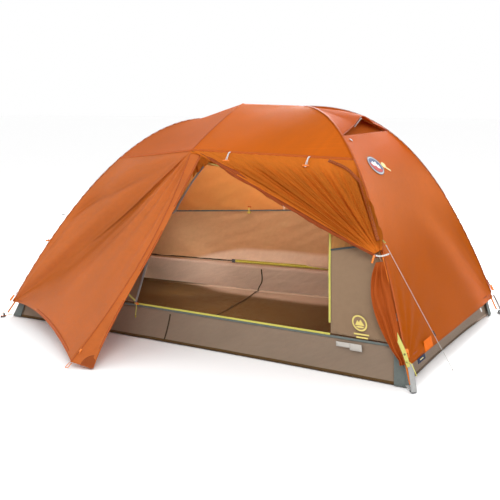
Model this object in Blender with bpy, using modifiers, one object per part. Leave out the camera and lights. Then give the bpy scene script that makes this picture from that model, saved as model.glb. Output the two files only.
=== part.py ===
"""Two-person double-door backpacking tent, pitched, with its front vestibule half open.

Frame: origin on the ground under the middle of the footprint, +X along the sleeper
towards the wide head end, -Y towards the open front vestibule, +Z up. Metres.
"""
import math

import bmesh
import bpy
from mathutils import Vector

# ---------------------------------------------------------------- driving dimensions
FLOOR_LENGTH = 2.235
HEAD_WIDTH = 1.32
FOOT_WIDTH = 1.07
TUB_HEIGHT = 0.155
FOOT_OUT = 0.035          # pole tips stand this far outside the floor corners, each way

HEAD, TAIL = 1, -1        # +X and -X ends
FRONT, REAR = -1, 1       # -Y and +Y sides

PEAK_Z = 1.109            # fly over the middle of the ridge
HUB = {HEAD: Vector((0.33, 0.0, 1.10)), TAIL: Vector((-0.25, 0.0, 1.035))}
LEG_POWER = {HEAD: 2.43, TAIL: 1.80}      # how late each end's legs turn down
BROW_SPLIT = {HEAD: 0.515, TAIL: 0.40}    # where the brow seam meets the legs
BROW_Y, BROW_Z = 0.478, 0.909             # fly over the end of the cross pole
HEM_S = 0.955                             # legs' parameter at the fly's lower hem

POLE_RADIUS = 0.0043
POLE_DEPTH = 0.014        # pole axis under the fly
INNER_DEPTH = 0.045       # inner tent under the fly
CLOTH = 0.001             # thickness of every cloth solid
SEAM_GAP = 0.004          # each panel stops this short of its seam line
TOUCH = 0.0004            # clearance between pieces that touch

STAKE = Vector((-0.248, 1.089, 0.030))    # vestibule stake-out point, rear side sign
FLAP_BOTTOM_WIDTH = 0.105
FLAP_WIDTH = 0.034
VENT_S = 0.405            # legs' parameter at the vent's lower edge
VENT_APEX = Vector((0.645, 0.0, 1.055))
HOOD_RISE = 0.036         # how far the hood is pulled flat along its middle
TIE_S = 0.775             # where the gathered door is tied to the front head leg

PARTS = "backpacking_tent"

COLOURS = {
    "fly_cloth": ((0.62, 0.15, 0.04, 1.0), 0.55, 0.0),
    "fly_roof_cloth": ((0.62, 0.14, 0.02, 1.0), 0.55, 0.0),
    "inner_cloth": ((0.55, 0.33, 0.20, 1.0), 0.80, 0.0),
    "floor_cloth": ((0.26, 0.20, 0.15, 1.0), 0.60, 0.0),
    "pole_metal": ((0.70, 0.22, 0.04, 1.0), 0.30, 1.0),
    "hub_plastic": ((0.05, 0.05, 0.05, 1.0), 0.45, 0.0),
    "webbing": ((0.42, 0.42, 0.40, 1.0), 0.85, 0.0),
    "orange_plastic": ((0.85, 0.27, 0.03, 1.0), 0.40, 0.0),
    "white_elastic": ((0.80, 0.80, 0.78, 1.0), 0.80, 0.0),
    "zip_tape": ((0.72, 0.68, 0.18, 1.0), 0.70, 0.0),
    "cord": ((0.55, 0.55, 0.50, 1.0), 0.80, 0.0),
    "strut_plastic": ((0.75, 0.75, 0.73, 1.0), 0.35, 0.0),
}


# ---------------------------------------------------------------- scene helpers
def clear_scene():
    for obj in list(bpy.data.objects):
        bpy.data.objects.remove(obj, do_unlink=True)


def collection(name):
    found = bpy.data.collections.get(name)
    if found is None:
        found = bpy.data.collections.new(name)
        bpy.context.scene.collection.children.link(found)
    return found


def material(name):
    found = bpy.data.materials.get(name)
    if found is not None:
        return found
    colour, roughness, metallic = COLOURS[name]
    made = bpy.data.materials.new(name)
    made.use_nodes = True
    shader = made.node_tree.nodes["Principled BSDF"]
    shader.inputs["Base Color"].default_value = colour
    shader.inputs["Roughness"].default_value = roughness
    shader.inputs["Metallic"].default_value = metallic
    made.diffuse_color = colour
    return made


def add_object(name, data, material_name, pivot=None):
    """Link a new object; with a pivot, its origin moves there and the mesh stays put."""
    obj = bpy.data.objects.new(name, data)
    collection(PARTS).objects.link(obj)
    data.materials.append(material(material_name))
    if pivot is not None:
        set_origin(obj, pivot)
    return obj


def set_origin(obj, pivot):
    pivot = Vector(pivot)
    if isinstance(obj.data, bpy.types.Mesh):
        for vertex in obj.data.vertices:
            vertex.co -= pivot
    else:
        for spline in obj.data.splines:
            for point in spline.points:
                point.co = (point.co.to_3d() - pivot).to_4d()
    obj.location = pivot


# ---------------------------------------------------------------- curve helpers
def smooth_path(points, count):
    """Catmull-Rom curve through the points, sampled evenly in parameter."""
    pts = [Vector(p) for p in points]
    pts = [pts[0] * 2 - pts[1]] + pts + [pts[-1] * 2 - pts[-2]]
    spans = len(pts) - 3
    out = []
    for i in range(count):
        t = i / (count - 1) * spans
        k = min(int(t), spans - 1)
        f = t - k
        a, b, c, d = pts[k:k + 4]
        out.append(0.5 * ((2 * b) + (c - a) * f + (2 * a - 5 * b + 4 * c - d) * f * f
                          + (3 * b - a - 3 * c + d) * f ** 3))
    return out


def path_function(points):
    """The same curve as a function of 0..1."""
    table = smooth_path(points, 65)

    def at(t):
        x = min(max(t, 0.0), 1.0) * (len(table) - 1)
        k = min(int(x), len(table) - 2)
        return table[k].lerp(table[k + 1], x - k)
    return at


def line(a, b):
    a, b = Vector(a), Vector(b)
    return lambda t: a.lerp(b, t)


def bowed(curve, offset):
    """A curve with a parabolic bow added, largest in the middle."""
    offset = Vector(offset)
    return lambda t: curve(t) + offset * (4 * t * (1 - t))


def coons(bottom, top, left, right):
    """Surface of (u, v) between four boundary curves that meet at their ends."""
    p00, p10, p01, p11 = bottom(0), bottom(1), top(0), top(1)

    def at(u, v):
        ruled_v = bottom(u) * (1 - v) + top(u) * v
        ruled_u = left(v) * (1 - u) + right(v) * u
        corners = (p00 * (1 - u) + p10 * u) * (1 - v) + (p01 * (1 - u) + p11 * u) * v
        return ruled_v + ruled_u - corners
    return at


# ---------------------------------------------------------------- solid helpers
def mesh_from_bmesh(name, bm):
    data = bpy.data.meshes.new(name)
    bm.to_mesh(data)
    bm.free()
    return data


def sheet(name, surface, columns, rows, material_name, pivot=None,
          u_range=(0.0, 1.0), v_range=(0.0, 1.0), thickness=CLOTH):
    """Open grid laid on a surface of (u, v), thickened to a closed sheet."""
    bm = bmesh.new()
    bmesh.ops.create_grid(bm, x_segments=columns, y_segments=rows, size=0.5)
    for vertex in bm.verts:
        u = u_range[0] + (vertex.co.x + 0.5) * (u_range[1] - u_range[0])
        v = v_range[0] + (vertex.co.y + 0.5) * (v_range[1] - v_range[0])
        vertex.co = surface(u, v)
    data = bpy.data.meshes.new(name)
    bm.to_mesh(data)
    bm.free()
    obj = add_object(name, data, material_name, pivot)
    solid = obj.modifiers.new("thickness", "SOLIDIFY")
    solid.thickness = thickness
    solid.offset = 0.0
    return obj


def tube(name, points, radius, material_name, pivot=None, resolution=2):
    data = bpy.data.curves.new(name, "CURVE")
    data.dimensions = "3D"
    data.bevel_depth = radius
    data.bevel_resolution = resolution
    data.use_fill_caps = True
    spline = data.splines.new("POLY")
    spline.points.add(len(points) - 1)
    for point, co in zip(spline.points, points):
        point.co = (*co, 1.0)
    return add_object(name, data, material_name, pivot)


def block(name, size, centre, material_name, pivot=None, rotation=None, bevel=0.0):
    """A box of a given size; rotation is a quaternion about its centre."""
    bm = bmesh.new()
    bmesh.ops.create_cube(bm, size=1.0)
    for vertex in bm.verts:
        co = Vector((vertex.co.x * size[0], vertex.co.y * size[1], vertex.co.z * size[2]))
        if rotation is not None:
            co.rotate(rotation)
        vertex.co = co + Vector(centre)
    obj = add_object(name, mesh_from_bmesh(name, bm), material_name, pivot)
    if bevel > 0:
        edge = obj.modifiers.new("rounded", "BEVEL")
        edge.width = bevel
        edge.segments = 2
    return obj


def rod_mesh(start, end, radius, sides=12, end_radius=None):
    start, end = Vector(start), Vector(end)
    bm = bmesh.new()
    bmesh.ops.create_cone(bm, cap_ends=True, segments=sides, radius1=radius,
                          radius2=radius if end_radius is None else end_radius,
                          depth=(end - start).length)
    turn = (end - start).to_track_quat("Z", "Y")
    middle = (start + end) / 2
    for vertex in bm.verts:
        co = vertex.co.copy()
        co.rotate(turn)
        vertex.co = co + middle
    return mesh_from_bmesh("rod", bm)


def rod(name, start, end, radius, material_name, pivot=None, sides=12, end_radius=None):
    data = rod_mesh(start, end, radius, sides, end_radius)
    data.name = name
    return add_object(name, data, material_name, pivot)


def joined(obj, meshes):
    """Union further closed meshes into an object."""
    for index, data in enumerate(meshes):
        tool = bpy.data.objects.new(f"{obj.name}_arm_{index}", data)
        collection("cutters").objects.link(tool)
        tool.hide_render = True
        tool.display_type = "WIRE"
        tool.location = (0, 0, 0)
        union = obj.modifiers.new("union", "BOOLEAN")
        union.operation = "UNION"
        union.solver = "EXACT"
        union.object = tool
    return obj


# ---------------------------------------------------------------- the tent's lines
def foot(end, side):
    width = HEAD_WIDTH if end == HEAD else FOOT_WIDTH
    return Vector((end * (FLOOR_LENGTH / 2 + FOOT_OUT), side * (width / 2 + FOOT_OUT), 0.0))


def floor_corner(end, side):
    width = HEAD_WIDTH if end == HEAD else FOOT_WIDTH
    return Vector((end * FLOOR_LENGTH / 2, side * width / 2, 0.0))


def leg_skin(end, side, s):
    """Fly seam over a leg, from its hub (s=0) to its foot (s=1)."""
    hub, tip = HUB[end], foot(end, side)
    point = hub.lerp(tip, s)
    point.z = hub.z * (1 - s ** LEG_POWER[end])
    return point


def leg_line(end, side, s, depth):
    """The leg's line moved inwards, square to it in the leg's own upright plane."""
    step = 0.001
    ahead = leg_skin(end, side, min(s + step, 1.0))
    behind = leg_skin(end, side, max(s - step, 0.0))
    tangent = (ahead - behind).normalized()
    flat = foot(end, side) - HUB[end]
    sideways = Vector((-flat.y, flat.x, 0.0)).normalized()
    inward = tangent.cross(sideways)
    if inward.z > 0:
        inward = -inward
    return leg_skin(end, side, s) + inward * depth


def leg_s_at_height(end, height):
    return (1 - height / HUB[end].z) ** (1 / LEG_POWER[end])


def brow_end(side):
    return Vector((0.0, side * BROW_Y, BROW_Z))


def brow_corner(end, side):
    return leg_skin(end, side, BROW_SPLIT[end])


def cross_height(y):
    return PEAK_Z - (PEAK_Z - BROW_Z) * (abs(y) / BROW_Y) ** 1.3


def hem_corner(end, side):
    return leg_skin(end, side, HEM_S)


def stake_point(side):
    return Vector((STAKE.x, side * STAKE.y, STAKE.z))


def door_seam(side):
    """Vestibule seam from the stake-out point up to the brow, hanging slack."""
    sag = Vector((0.0, -side * 0.085, -0.025))
    return bowed(line(stake_point(side), brow_end(side)), sag)


# ---------------------------------------------------------------- poles
def make_poles():
    ridge = [HUB[TAIL], Vector((0, 0, PEAK_Z - 0.014)), HUB[HEAD]]
    axis = [point - Vector((0, 0, POLE_DEPTH)) for point in ridge]
    curve = smooth_path(axis, 41)
    inside = [p for p in curve if (p - axis[0]).length > 0.032 and (p - axis[2]).length > 0.032]
    tube("spine_pole", inside[::2], POLE_RADIUS, "pole_metal")

    cross_depth = 0.013
    rounding = 0.020
    reach = BROW_Y - 0.030
    steps = 22
    cross = []
    for i in range(steps + 1):
        y = -reach + 2 * reach * i / steps
        cross.append(Vector((0.0, y, cross_height(math.hypot(y, rounding)) - cross_depth)))
    tube("cross_pole", cross, POLE_RADIUS, "pole_metal")

    top = cross[steps // 2].z - POLE_RADIUS - 0.0012
    bottom = max(p.z for p in curve if abs(p.x) < 0.012) + POLE_RADIUS + 0.0008
    rod("centre_swivel", (0, 0, bottom), (0, 0, top), 0.0045, "hub_plastic")

    for end, side, name in corners():
        s_end = leg_s_at_height(end, 0.027)
        points = []
        count = 20
        for i in range(count):
            s = 0.033 + (s_end - 0.033) * i / (count - 1)
            settle = max(0.0, (s - 0.93) / 0.07)
            depth = POLE_DEPTH * (1 - settle * settle)
            points.append(leg_line(end, side, s, depth))
        tube(f"leg_pole_{name}", points, POLE_RADIUS, "pole_metal")
        tip = foot(end, side)
        rod(f"pole_tip_{name}", tip, tip + Vector((0, 0, 0.019)), 0.0045, "hub_plastic",
            end_radius=0.0055)


def corners():
    return [(HEAD, FRONT, "front_right"), (HEAD, REAR, "rear_right"),
            (TAIL, FRONT, "front_left"), (TAIL, REAR, "rear_left")]


def make_hubs():
    arm_radius = 0.0070
    for end, name in ((HEAD, "right"), (TAIL, "left")):
        centre = HUB[end] - Vector((0, 0, POLE_DEPTH))
        spine = (Vector((0, 0, PEAK_Z - 0.008 - POLE_DEPTH)) - centre).normalized()
        arms = []
        for side in (FRONT, REAR):
            along = (leg_line(end, side, 0.05, POLE_DEPTH) - centre).normalized()
            arms.append(rod_mesh(centre, centre + along * 0.026, arm_radius))
        data = rod_mesh(centre - spine * 0.004, centre + spine * 0.026, arm_radius + 0.0004)
        data.name = f"hub_{name}"
        obj = add_object(f"hub_{name}", data, "hub_plastic")
        joined(obj, arms)


# ---------------------------------------------------------------- fly
def roof_surface(depth):
    """Cap between the brow seams, as one surface of (u, v): left to right, front to rear."""
    def quadrant(end, side):
        drop = Vector((0, 0, depth))
        hub, peak = HUB[end] - drop, Vector((0, 0, PEAK_Z)) - drop
        split = BROW_SPLIT[end]
        brow = leg_line(end, side, split, depth)
        tip = brow_end(side) - Vector((0, side * depth * 0.6, depth))

        def leg(t):
            if t <= 0:
                return hub.copy()
            return leg_line(end, side, split * t, depth) if t < 1 else brow.copy()

        def cross(t):
            y = side * BROW_Y * t
            point = Vector((0, y, cross_height(y) - depth))
            return point.lerp(tip, t)
        return coons(line(hub, peak), line(brow, tip), leg, cross)

    quads = {(e, s): quadrant(e, s) for e in (HEAD, TAIL) for s in (FRONT, REAR)}

    def at(u, v):
        end = HEAD if u >= 0.5 else TAIL
        side = REAR if v >= 0.5 else FRONT
        along = 1 - abs(u - 0.5) * 2
        down = abs(v - 0.5) * 2
        return quads[(end, side)](along, down)
    return at


def end_surface(end, s_top, depth=0.0, s_bottom=HEM_S, bow=0.012):
    """Panel between the two legs of one end; v runs from the bottom edge up."""
    def leg(side):
        return lambda t: leg_line(end, side, s_bottom + (s_top - s_bottom) * t, depth)
    low = line(leg(FRONT)(0), leg(REAR)(0))
    high = line(leg(FRONT)(1), leg(REAR)(1))
    flat = coons(low, high, leg(FRONT), leg(REAR))

    def at(u, v):
        hollow = bow * 4 * u * (1 - u) * math.sin(math.pi * min(max(v, 0.0), 1.0))
        return flat(u, v) - Vector((end * hollow, 0, 0))
    return at


def hood_surface():
    """Vent hood: from the head hub out to its propped lower edge."""
    def leg(side):
        return lambda t: leg_skin(HEAD, side, VENT_S * t)
    left, right = leg(FRONT), leg(REAR)
    edge = path_function([left(1), left(1).lerp(VENT_APEX, 0.52) + Vector((0, 0, -0.004)),
                          VENT_APEX,
                          right(1).lerp(VENT_APEX, 0.52) + Vector((0, 0, -0.004)), right(1)])
    hub = HUB[HEAD]
    arched = coons(lambda t: hub.copy(), edge, left, right)

    def at(u, v):
        taut = HOOD_RISE * 4 * u * (1 - u) * 4 * v * (1 - v)
        return arched(u, v) - Vector((0, 0, taut))
    return at


def gap_range(length, gap=SEAM_GAP):
    share = gap / length
    return (share, 1 - share)


def make_fly():
    sheet("fly_roof", roof_surface(0.0), 12, 12, "fly_roof_cloth",
          u_range=gap_range(1.2), v_range=gap_range(1.1))
    sheet("fly_end_right", end_surface(HEAD, VENT_S + 0.004), 6, 10, "fly_cloth",
          u_range=gap_range(0.8))
    sheet("fly_end_left", end_surface(TAIL, 0.03), 6, 12, "fly_cloth",
          u_range=(0.012, 0.988))
    sheet("vent_hood", hood_surface(), 10, 6, "fly_cloth",
          u_range=(0.012, 0.988), v_range=(0.10, 1.0))
    for end, side, name in corners():
        if (end, side) != (HEAD, FRONT):
            make_vestibule_side(end, side, name)
    make_gathered_door()


def make_vestibule_side(end, side, name):
    """A fixed gusset along the leg, and the leaf that swings about its lower edge."""
    low, tip = hem_corner(end, side), brow_end(side)
    brow = brow_corner(end, side)
    split = BROW_SPLIT[end]
    fold = line(low, tip)

    def leg(t):
        return leg_skin(end, side, HEM_S + (split - HEM_S) * t)
    gusset = coons(lambda t: low.copy(), line(brow, tip), leg, fold)
    sheet(f"fly_side_{name}", gusset, 4, 10, "fly_cloth",
          u_range=(0.016, 0.984), v_range=(0.10, 0.992))

    seam = door_seam(side)
    hem_sag = Vector((end * 0.010, -side * 0.035, 0.050))
    leaf = coons(bowed(line(low, stake_point(side)), hem_sag), lambda t: tip.copy(), fold, seam)
    hollow = Vector((0, -side * 0.018, -0.006))

    def leaf_surface(u, v):
        return leaf(u, v) + hollow * (4 * u * (1 - u) * math.sin(math.pi * v))
    sheet(f"vestibule_leaf_{name}", leaf_surface, 6, 10, "fly_cloth", pivot=low,
          u_range=(0.022, 0.994), v_range=(0.0, 0.93))
    if side == FRONT:
        make_storm_flap(seam, low)


def make_storm_flap(seam, pivot):
    """Strip sewn to the open edge of the front leaf, widening to a corner at the ground."""
    across = Vector((0.90, 0.30, -0.06)).normalized()
    outwards = Vector((0.0, -0.0030, 0.0))

    def flap(u, v):
        width = FLAP_WIDTH + (FLAP_BOTTOM_WIDTH - FLAP_WIDTH) * (1 - v) ** 5 + 0.030 * v ** 6
        point = seam(v) + across * (0.004 + width * u) + outwards
        point.z = max(point.z - 0.020 * u * (1 - v) ** 6, 0.004)
        return point
    sheet("storm_flap", flap, 4, 14, "fly_cloth", pivot=pivot, v_range=(0.0, 0.955))


def tie_point():
    return leg_skin(HEAD, FRONT, TIE_S) + Vector((0.006, -0.018, 0.0))


def roll_line():
    start = brow_end(FRONT) + Vector((0.060, -0.010, -0.028))
    end = tie_point() + Vector((-0.030, -0.004, -0.010))
    return bowed(line(start, end), (0.0, 0.0, -0.020))


def make_gathered_door():
    """Front right door leaf, drawn up to the leg: folded cloth, its rolled edge and its tail."""
    edge = roll_line()
    top = line(brow_end(FRONT) + Vector((0.075, 0.006, -0.004)), brow_corner(HEAD, FRONT))
    lift = Vector((0.0, 0.0, 0.016))
    tie = edge(1.0) + lift

    def leg(t):
        start = leg_skin(HEAD, FRONT, BROW_SPLIT[HEAD])
        return start.lerp(tie, t) + Vector((0.045, -0.010, 0.02)) * (4 * t * (1 - t))

    def top_to_edge(t):
        return top(0).lerp(edge(0) + lift, t)
    surface = coons(top, lambda t: edge(t) + lift, top_to_edge, leg)
    sheet("vestibule_gathered_front_right", surface, 12, 6, "fly_cloth",
          u_range=(0.01, 0.975), v_range=(0.03, 0.985))
    tube("vestibule_roll_front_right", [edge(i / 16) for i in range(17)], 0.0125, "fly_cloth")

    def tail(u, v):
        s = TIE_S + 0.030 + (HEM_S - 0.008 - TIE_S - 0.030) * v
        point = leg_skin(HEAD, FRONT, s)
        width = 0.026 + 0.050 * math.sin(math.pi * min(v * 1.15, 1.0)) ** 0.8
        return point + Vector((-0.012 - width * u, -0.012 - 0.006 * u, 0.0))
    sheet("vestibule_tail_front_right", tail, 4, 10, "fly_cloth")


# ---------------------------------------------------------------- inner tent
def tub_top(end, side):
    s = leg_s_at_height(end, TUB_HEIGHT + 0.03)
    point = leg_line(end, side, s, 0.020)
    point.z = TUB_HEIGHT
    return point


def make_floor():
    """Open tray: flat floor, walls drawn up to the legs at each corner."""
    rim = 0.80

    def surface(u, v):
        a, b = 2 * u - 1, 2 * v - 1
        outer = max(abs(a), abs(b))
        rise = max(0.0, (outer - rim) / (1 - rim))
        fx = (min(max(a, -rim), rim) / rim + 1) / 2
        fy = (min(max(b, -rim), rim) / rim + 1) / 2
        low = blend_corners(floor_corner, fx, fy)
        hollow_x = 0.020 * 4 * fx * (1 - fx)
        hollow_y = 0.012 * 4 * fy * (1 - fy)
        low.y -= (2 * fy - 1) * hollow_x
        low.x -= (2 * fx - 1) * hollow_y
        high = blend_corners(tub_top, fx, fy)
        point = low.lerp(high, rise)
        point.z = max(point.z, 0.0)
        return point
    bm = bmesh.new()
    bmesh.ops.create_grid(bm, x_segments=10, y_segments=10, size=0.5)
    for vertex in bm.verts:
        vertex.co = surface(vertex.co.x + 0.5, vertex.co.y + 0.5)
    bmesh.ops.remove_doubles(bm, verts=bm.verts, dist=0.0001)
    bmesh.ops.dissolve_degenerate(bm, edges=bm.edges, dist=0.0001)
    data = bpy.data.meshes.new("floor_tub")
    bm.to_mesh(data)
    bm.free()
    obj = add_object("floor_tub", data, "floor_cloth")
    solid = obj.modifiers.new("thickness", "SOLIDIFY")
    solid.thickness = CLOTH
    solid.offset = 1.0


def blend_corners(corner, fx, fy):
    front = corner(TAIL, FRONT).lerp(corner(HEAD, FRONT), fx)
    rear = corner(TAIL, REAR).lerp(corner(HEAD, REAR), fx)
    return front.lerp(rear, fy)


def side_wall(side):
    """Inner wall of one long side, of (u, w): left to right, tub seam to brow."""
    rise = Vector((0, 0, 0.006))
    low = line(tub_top(TAIL, side) + rise, tub_top(HEAD, side) + rise)
    tip = brow_end(side) - Vector((0, side * 0.036, 0.048))
    corner = {end: leg_line(end, side, BROW_SPLIT[end] + 0.01, INNER_DEPTH) for end in (HEAD, TAIL)}

    def high(t):
        if t < 0.5:
            return corner[TAIL].lerp(tip, t * 2)
        return tip.lerp(corner[HEAD], t * 2 - 1)

    def edge(end):
        bottom = tub_top(end, side) + rise
        s_low = leg_s_at_height(end, TUB_HEIGHT + 0.03)
        s_high = BROW_SPLIT[end] + 0.01

        def at(t):
            point = leg_line(end, side, s_low + (s_high - s_low) * t, INNER_DEPTH)
            return point + (bottom - leg_line(end, side, s_low, INNER_DEPTH)) * (1 - t) ** 3
        return at
    return coons(low, high, edge(TAIL), edge(HEAD))


def wall_share(x, z):
    """Rough (u, w) of a place on the front wall, from its x and height."""
    left, right = tub_top(TAIL, FRONT).x, tub_top(HEAD, FRONT).x
    top = brow_end(FRONT).z - 0.048
    w = (z - TUB_HEIGHT) / (top - TUB_HEIGHT)
    upper_left = leg_line(TAIL, FRONT, BROW_SPLIT[TAIL], INNER_DEPTH).x
    upper_right = leg_line(HEAD, FRONT, BROW_SPLIT[HEAD], INNER_DEPTH).x
    low_x = left + (upper_left - left) * w
    high_x = right + (upper_right - right) * w
    return Vector(((x - low_x) / (high_x - low_x), w, 0.0))


DOOR_RIGHT = [(0.762, 0.157), (0.735, 0.36), (0.702, 0.55), (0.622, 0.715), (0.40, 0.800),
              (0.08, 0.832)]
DOOR_LEFT = [(-0.300, 0.160), (-0.215, 0.40), (-0.104, 0.615), (0.045, 0.832)]


def door_curve(points):
    shares = [wall_share(x, z) for x, z in points]
    return path_function(shares)


def make_inner():
    wall = side_wall(FRONT)
    right_edge, left_edge = door_curve(DOOR_RIGHT), door_curve(DOOR_LEFT)

    def corner_path(points, turn):
        """Straight runs through three plan points, reaching the middle one at turn."""
        first, middle, last = [Vector(p) for p in points]

        def at(t):
            if t < turn:
                return first.lerp(middle, t / turn)
            return middle.lerp(last, (t - turn) / (1 - turn))
        return at

    def between(left, right, left_gap, right_gap):
        """Wall cloth between two curves in plan, held a fixed gap off each of them."""
        def at(u, v):
            low, high = left(v), right(v)
            width = (wall(high.x, high.y) - wall(low.x, low.y)).length
            start, stop = left_gap / width, 1 - right_gap / width
            spot = low.lerp(high, start + (stop - start) * u)
            return wall(spot.x, spot.y)
        return at
    outer_right = corner_path([(1, 0, 0), (1, 1, 0), (right_edge(1).x, 1, 0)], 0.62)
    outer_left = corner_path([(0, 0, 0), (0, 1, 0), (left_edge(1).x, 1, 0)], 0.80)
    sheet("inner_wall_front_right", between(right_edge, outer_right, 0.006, 0.006), 6, 20,
          "inner_cloth", v_range=(0.006, 0.995))
    sheet("inner_wall_front_left", between(outer_left, left_edge, 0.006, 0.003), 6, 15,
          "inner_cloth", v_range=(0.006, 0.990))
    sheet("inner_wall_rear", side_wall(REAR), 10, 6, "inner_cloth",
          u_range=(0.006, 0.994), v_range=(0.006, 0.985))
    sheet("inner_roof", roof_surface(INNER_DEPTH), 10, 10, "inner_cloth",
          u_range=(0.008, 0.992), v_range=(0.010, 0.990))
    for end, name in ((HEAD, "right"), (TAIL, "left")):
        s_low = leg_s_at_height(end, TUB_HEIGHT + 0.03)
        sheet(f"inner_end_{name}", inner_end_surface(end, s_low), 4, 10, "inner_cloth",
              u_range=(0.012, 0.988))
    make_door_zip(wall, right_edge, left_edge)


def inner_end_surface(end, s_low):
    flat = end_surface(end, 0.06, INNER_DEPTH, s_low, bow=0.006)
    shift = {side: tub_top(end, side) + Vector((0, 0, 0.006)) - leg_line(end, side, s_low,
                                                                        INNER_DEPTH)
             for side in (FRONT, REAR)}

    def at(u, v):
        move = shift[FRONT].lerp(shift[REAR], u)
        return flat(u, v) + move * (1 - min(v, 1.0)) ** 3
    return at


def make_door_zip(wall, right_edge, left_edge):
    """Zip along the door's right and bottom edges, its slider and pull, and the rolled door."""
    up = [wall(right_edge(t / 20).x, right_edge(t / 20).y) for t in range(1, 21)]
    start, stop = left_edge(0).x, right_edge(0).x
    along = []
    for i in range(9):
        spot = wall(start + (stop - start) * i / 8, 0.0)
        along.append(spot + Vector((0, -0.0005, 0.006)))
    tube("door_zip", along[:-1] + [along[-1] + Vector((-0.004, 0, 0.002))] + up,
         0.0028, "zip_tape")
    heading = (along[-1] - along[0]).normalized()
    seat = along[0] + heading * 0.018 + Vector((0, -0.0072, 0))
    turn = heading.to_track_quat("X", "Z")
    block("door_zip_slider", (0.016, 0.005, 0.011), seat, "zip_tape", pivot=seat,
          rotation=turn, bevel=0.001)
    eye = seat + Vector((0, -0.0048, -0.003))
    tube("door_zip_pull", [eye, eye + Vector((-0.001, -0.002, -0.020)),
                           eye + Vector((-0.004, -0.003, -0.042)),
                           eye + Vector((-0.006, -0.003, -0.062))], 0.0018, "zip_tape",
         pivot=eye)

    bundle = []
    for i in range(14):
        t = 0.08 + 0.80 * i / 13
        spot = left_edge(t)
        point = wall(spot.x - 0.055, spot.y)
        bundle.append(point + Vector((0, 0.034, 0)))
    tube("inner_door_bundle", bundle, 0.024, "inner_cloth")


# ---------------------------------------------------------------- straps, buckles, toggles
def make_corner_fittings():
    for end, side, name in corners():
        outward = Vector((end, side, 0)).normalized()
        width_dir = Vector((-outward.y, outward.x, 0))

        high = leg_skin(end, side, HEM_S + 0.004) + outward * 0.0085
        low = foot(end, side) + outward * 0.0190 + Vector((0, 0, 0.004))
        run = line(high, low)

        def strap(u, v):
            return run(v) + width_dir * (0.024 * (u - 0.5))
        sheet(f"corner_strap_{name}", strap, 2, 5, "webbing", thickness=0.0015)
        top = leg_skin(end, side, HEM_S - 0.012) + outward * 0.0145
        turn = outward.to_track_quat("Y", "Z")
        block(f"fly_buckle_{name}", (0.018, 0.009, 0.034), top, "orange_plastic",
              rotation=turn, bevel=0.002)


def toggle(name, hang, drop, bar_direction, bar_length=0.030):
    """Elastic loop hanging from a seam, with a bar toggle in its end."""
    hang, drop = Vector(hang), Vector(drop)
    middle = hang + drop
    along = Vector(bar_direction).normalized()
    obj = rod(name, middle - along * bar_length / 2, middle + along * bar_length / 2, 0.0042,
              "orange_plastic", pivot=hang, sides=10)
    joined(obj, [rod_mesh(hang + drop * 0.08, middle, 0.0022, 8)])
    for tool in collection("cutters").objects:
        if tool.name.startswith(f"{name}_arm"):
            tool.parent = obj
            tool.location = -hang
    return obj


def make_toggles():
    brow = line(brow_end(FRONT), brow_corner(HEAD, FRONT))
    for share, name in ((0.245, "left"), (0.735, "right")):
        hang = brow(share) + Vector((0.004, -0.018, -0.004))
        toggle(f"brow_toggle_{name}", hang, (0.0, -0.024, -0.031), (0.95, 0.20, 0))
    leg = leg_skin(TAIL, FRONT, 0.742) + Vector((-0.014, -0.012, 0.010))
    toggle("leg_toggle_left", leg, (-0.002, -0.004, -0.030), (0.3, 0.95, 0))

    tie = tie_point()
    turn = Vector((-0.25, -0.05, -0.97))
    hold = tie + Vector((-0.034, -0.021, 0.004))
    toggle("tie_toggle", hold, (-0.004, -0.004, -0.016), turn, 0.034)
    ring = [tie + Vector((0.020, 0.004, 0.010)), tie + Vector((0.008, -0.012, 0.006)),
            tie + Vector((-0.012, -0.020, 0.002)), tie + Vector((-0.0285, -0.0215, 0.004))]
    tube("tie_elastic", smooth_path(ring, 10), 0.0016, "white_elastic")


def guy_line():
    start = leg_skin(HEAD, FRONT, 0.757) + Vector((0.020, -0.012, 0.012))
    return start, Vector((1.219, -0.362, 0.0022))


def make_guys():
    start, anchor = guy_line()
    tube("guy_cord", [start.lerp(anchor, i / 12) for i in range(13)], 0.0011, "cord")
    heading = (anchor - start).normalized()
    seat = start.lerp(anchor, 0.70)
    turn = heading.to_track_quat("Z", "Y")
    body = block("guy_tensioner", (0.010, 0.004, 0.026), seat + turn @ Vector((0, 0.0045, 0)),
                 "hub_plastic", pivot=seat, rotation=turn, bevel=0.001)
    body.name = "guy_tensioner"
    for end, name in ((HEAD, "right"), (TAIL, "left")):
        if end == HEAD:
            base = leg_skin(end, FRONT, 0.745) + Vector((0.004, -0.007, 0.012))
            tip = start + Vector((-0.003, 0.002, 0.006))
        else:
            base = leg_skin(end, FRONT, 0.660) + Vector((-0.005, -0.006, 0.006))
            tip = base + Vector((-0.026, -0.007, -0.006))
        tube(f"guy_loop_{name}", [base, base.lerp(tip, 0.5), tip], 0.0030, "zip_tape")


def make_stake_loops():
    """Webbing loop at the foot of each vestibule, for a peg."""
    for side, name in ((FRONT, "front"), (REAR, "rear")):
        corner = stake_point(side) + Vector((0, side * 0.004, -0.004))
        reach = corner + Vector((-0.004, side * 0.020, -0.016))
        loop = [corner + Vector((-0.006, 0, 0)), reach + Vector((-0.008, 0, 0)), reach,
                reach + Vector((0.006, -side * 0.004, 0.002)), corner + Vector((0.006, 0, 0))]
        tube(f"stake_loop_{name}", smooth_path(loop, 12), 0.0016, "orange_plastic",
             pivot=corner)


def make_vent_strut():
    top = VENT_APEX + Vector((-0.006, 0.0, -0.008))
    low = top + Vector((-0.038, -0.004, -0.052))
    turn = (low - top).to_track_quat("Z", "Y")
    block("vent_strut", (0.014, 0.0028, (low - top).length), (top + low) / 2, "strut_plastic",
          pivot=top, rotation=turn, bevel=0.0006)


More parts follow.
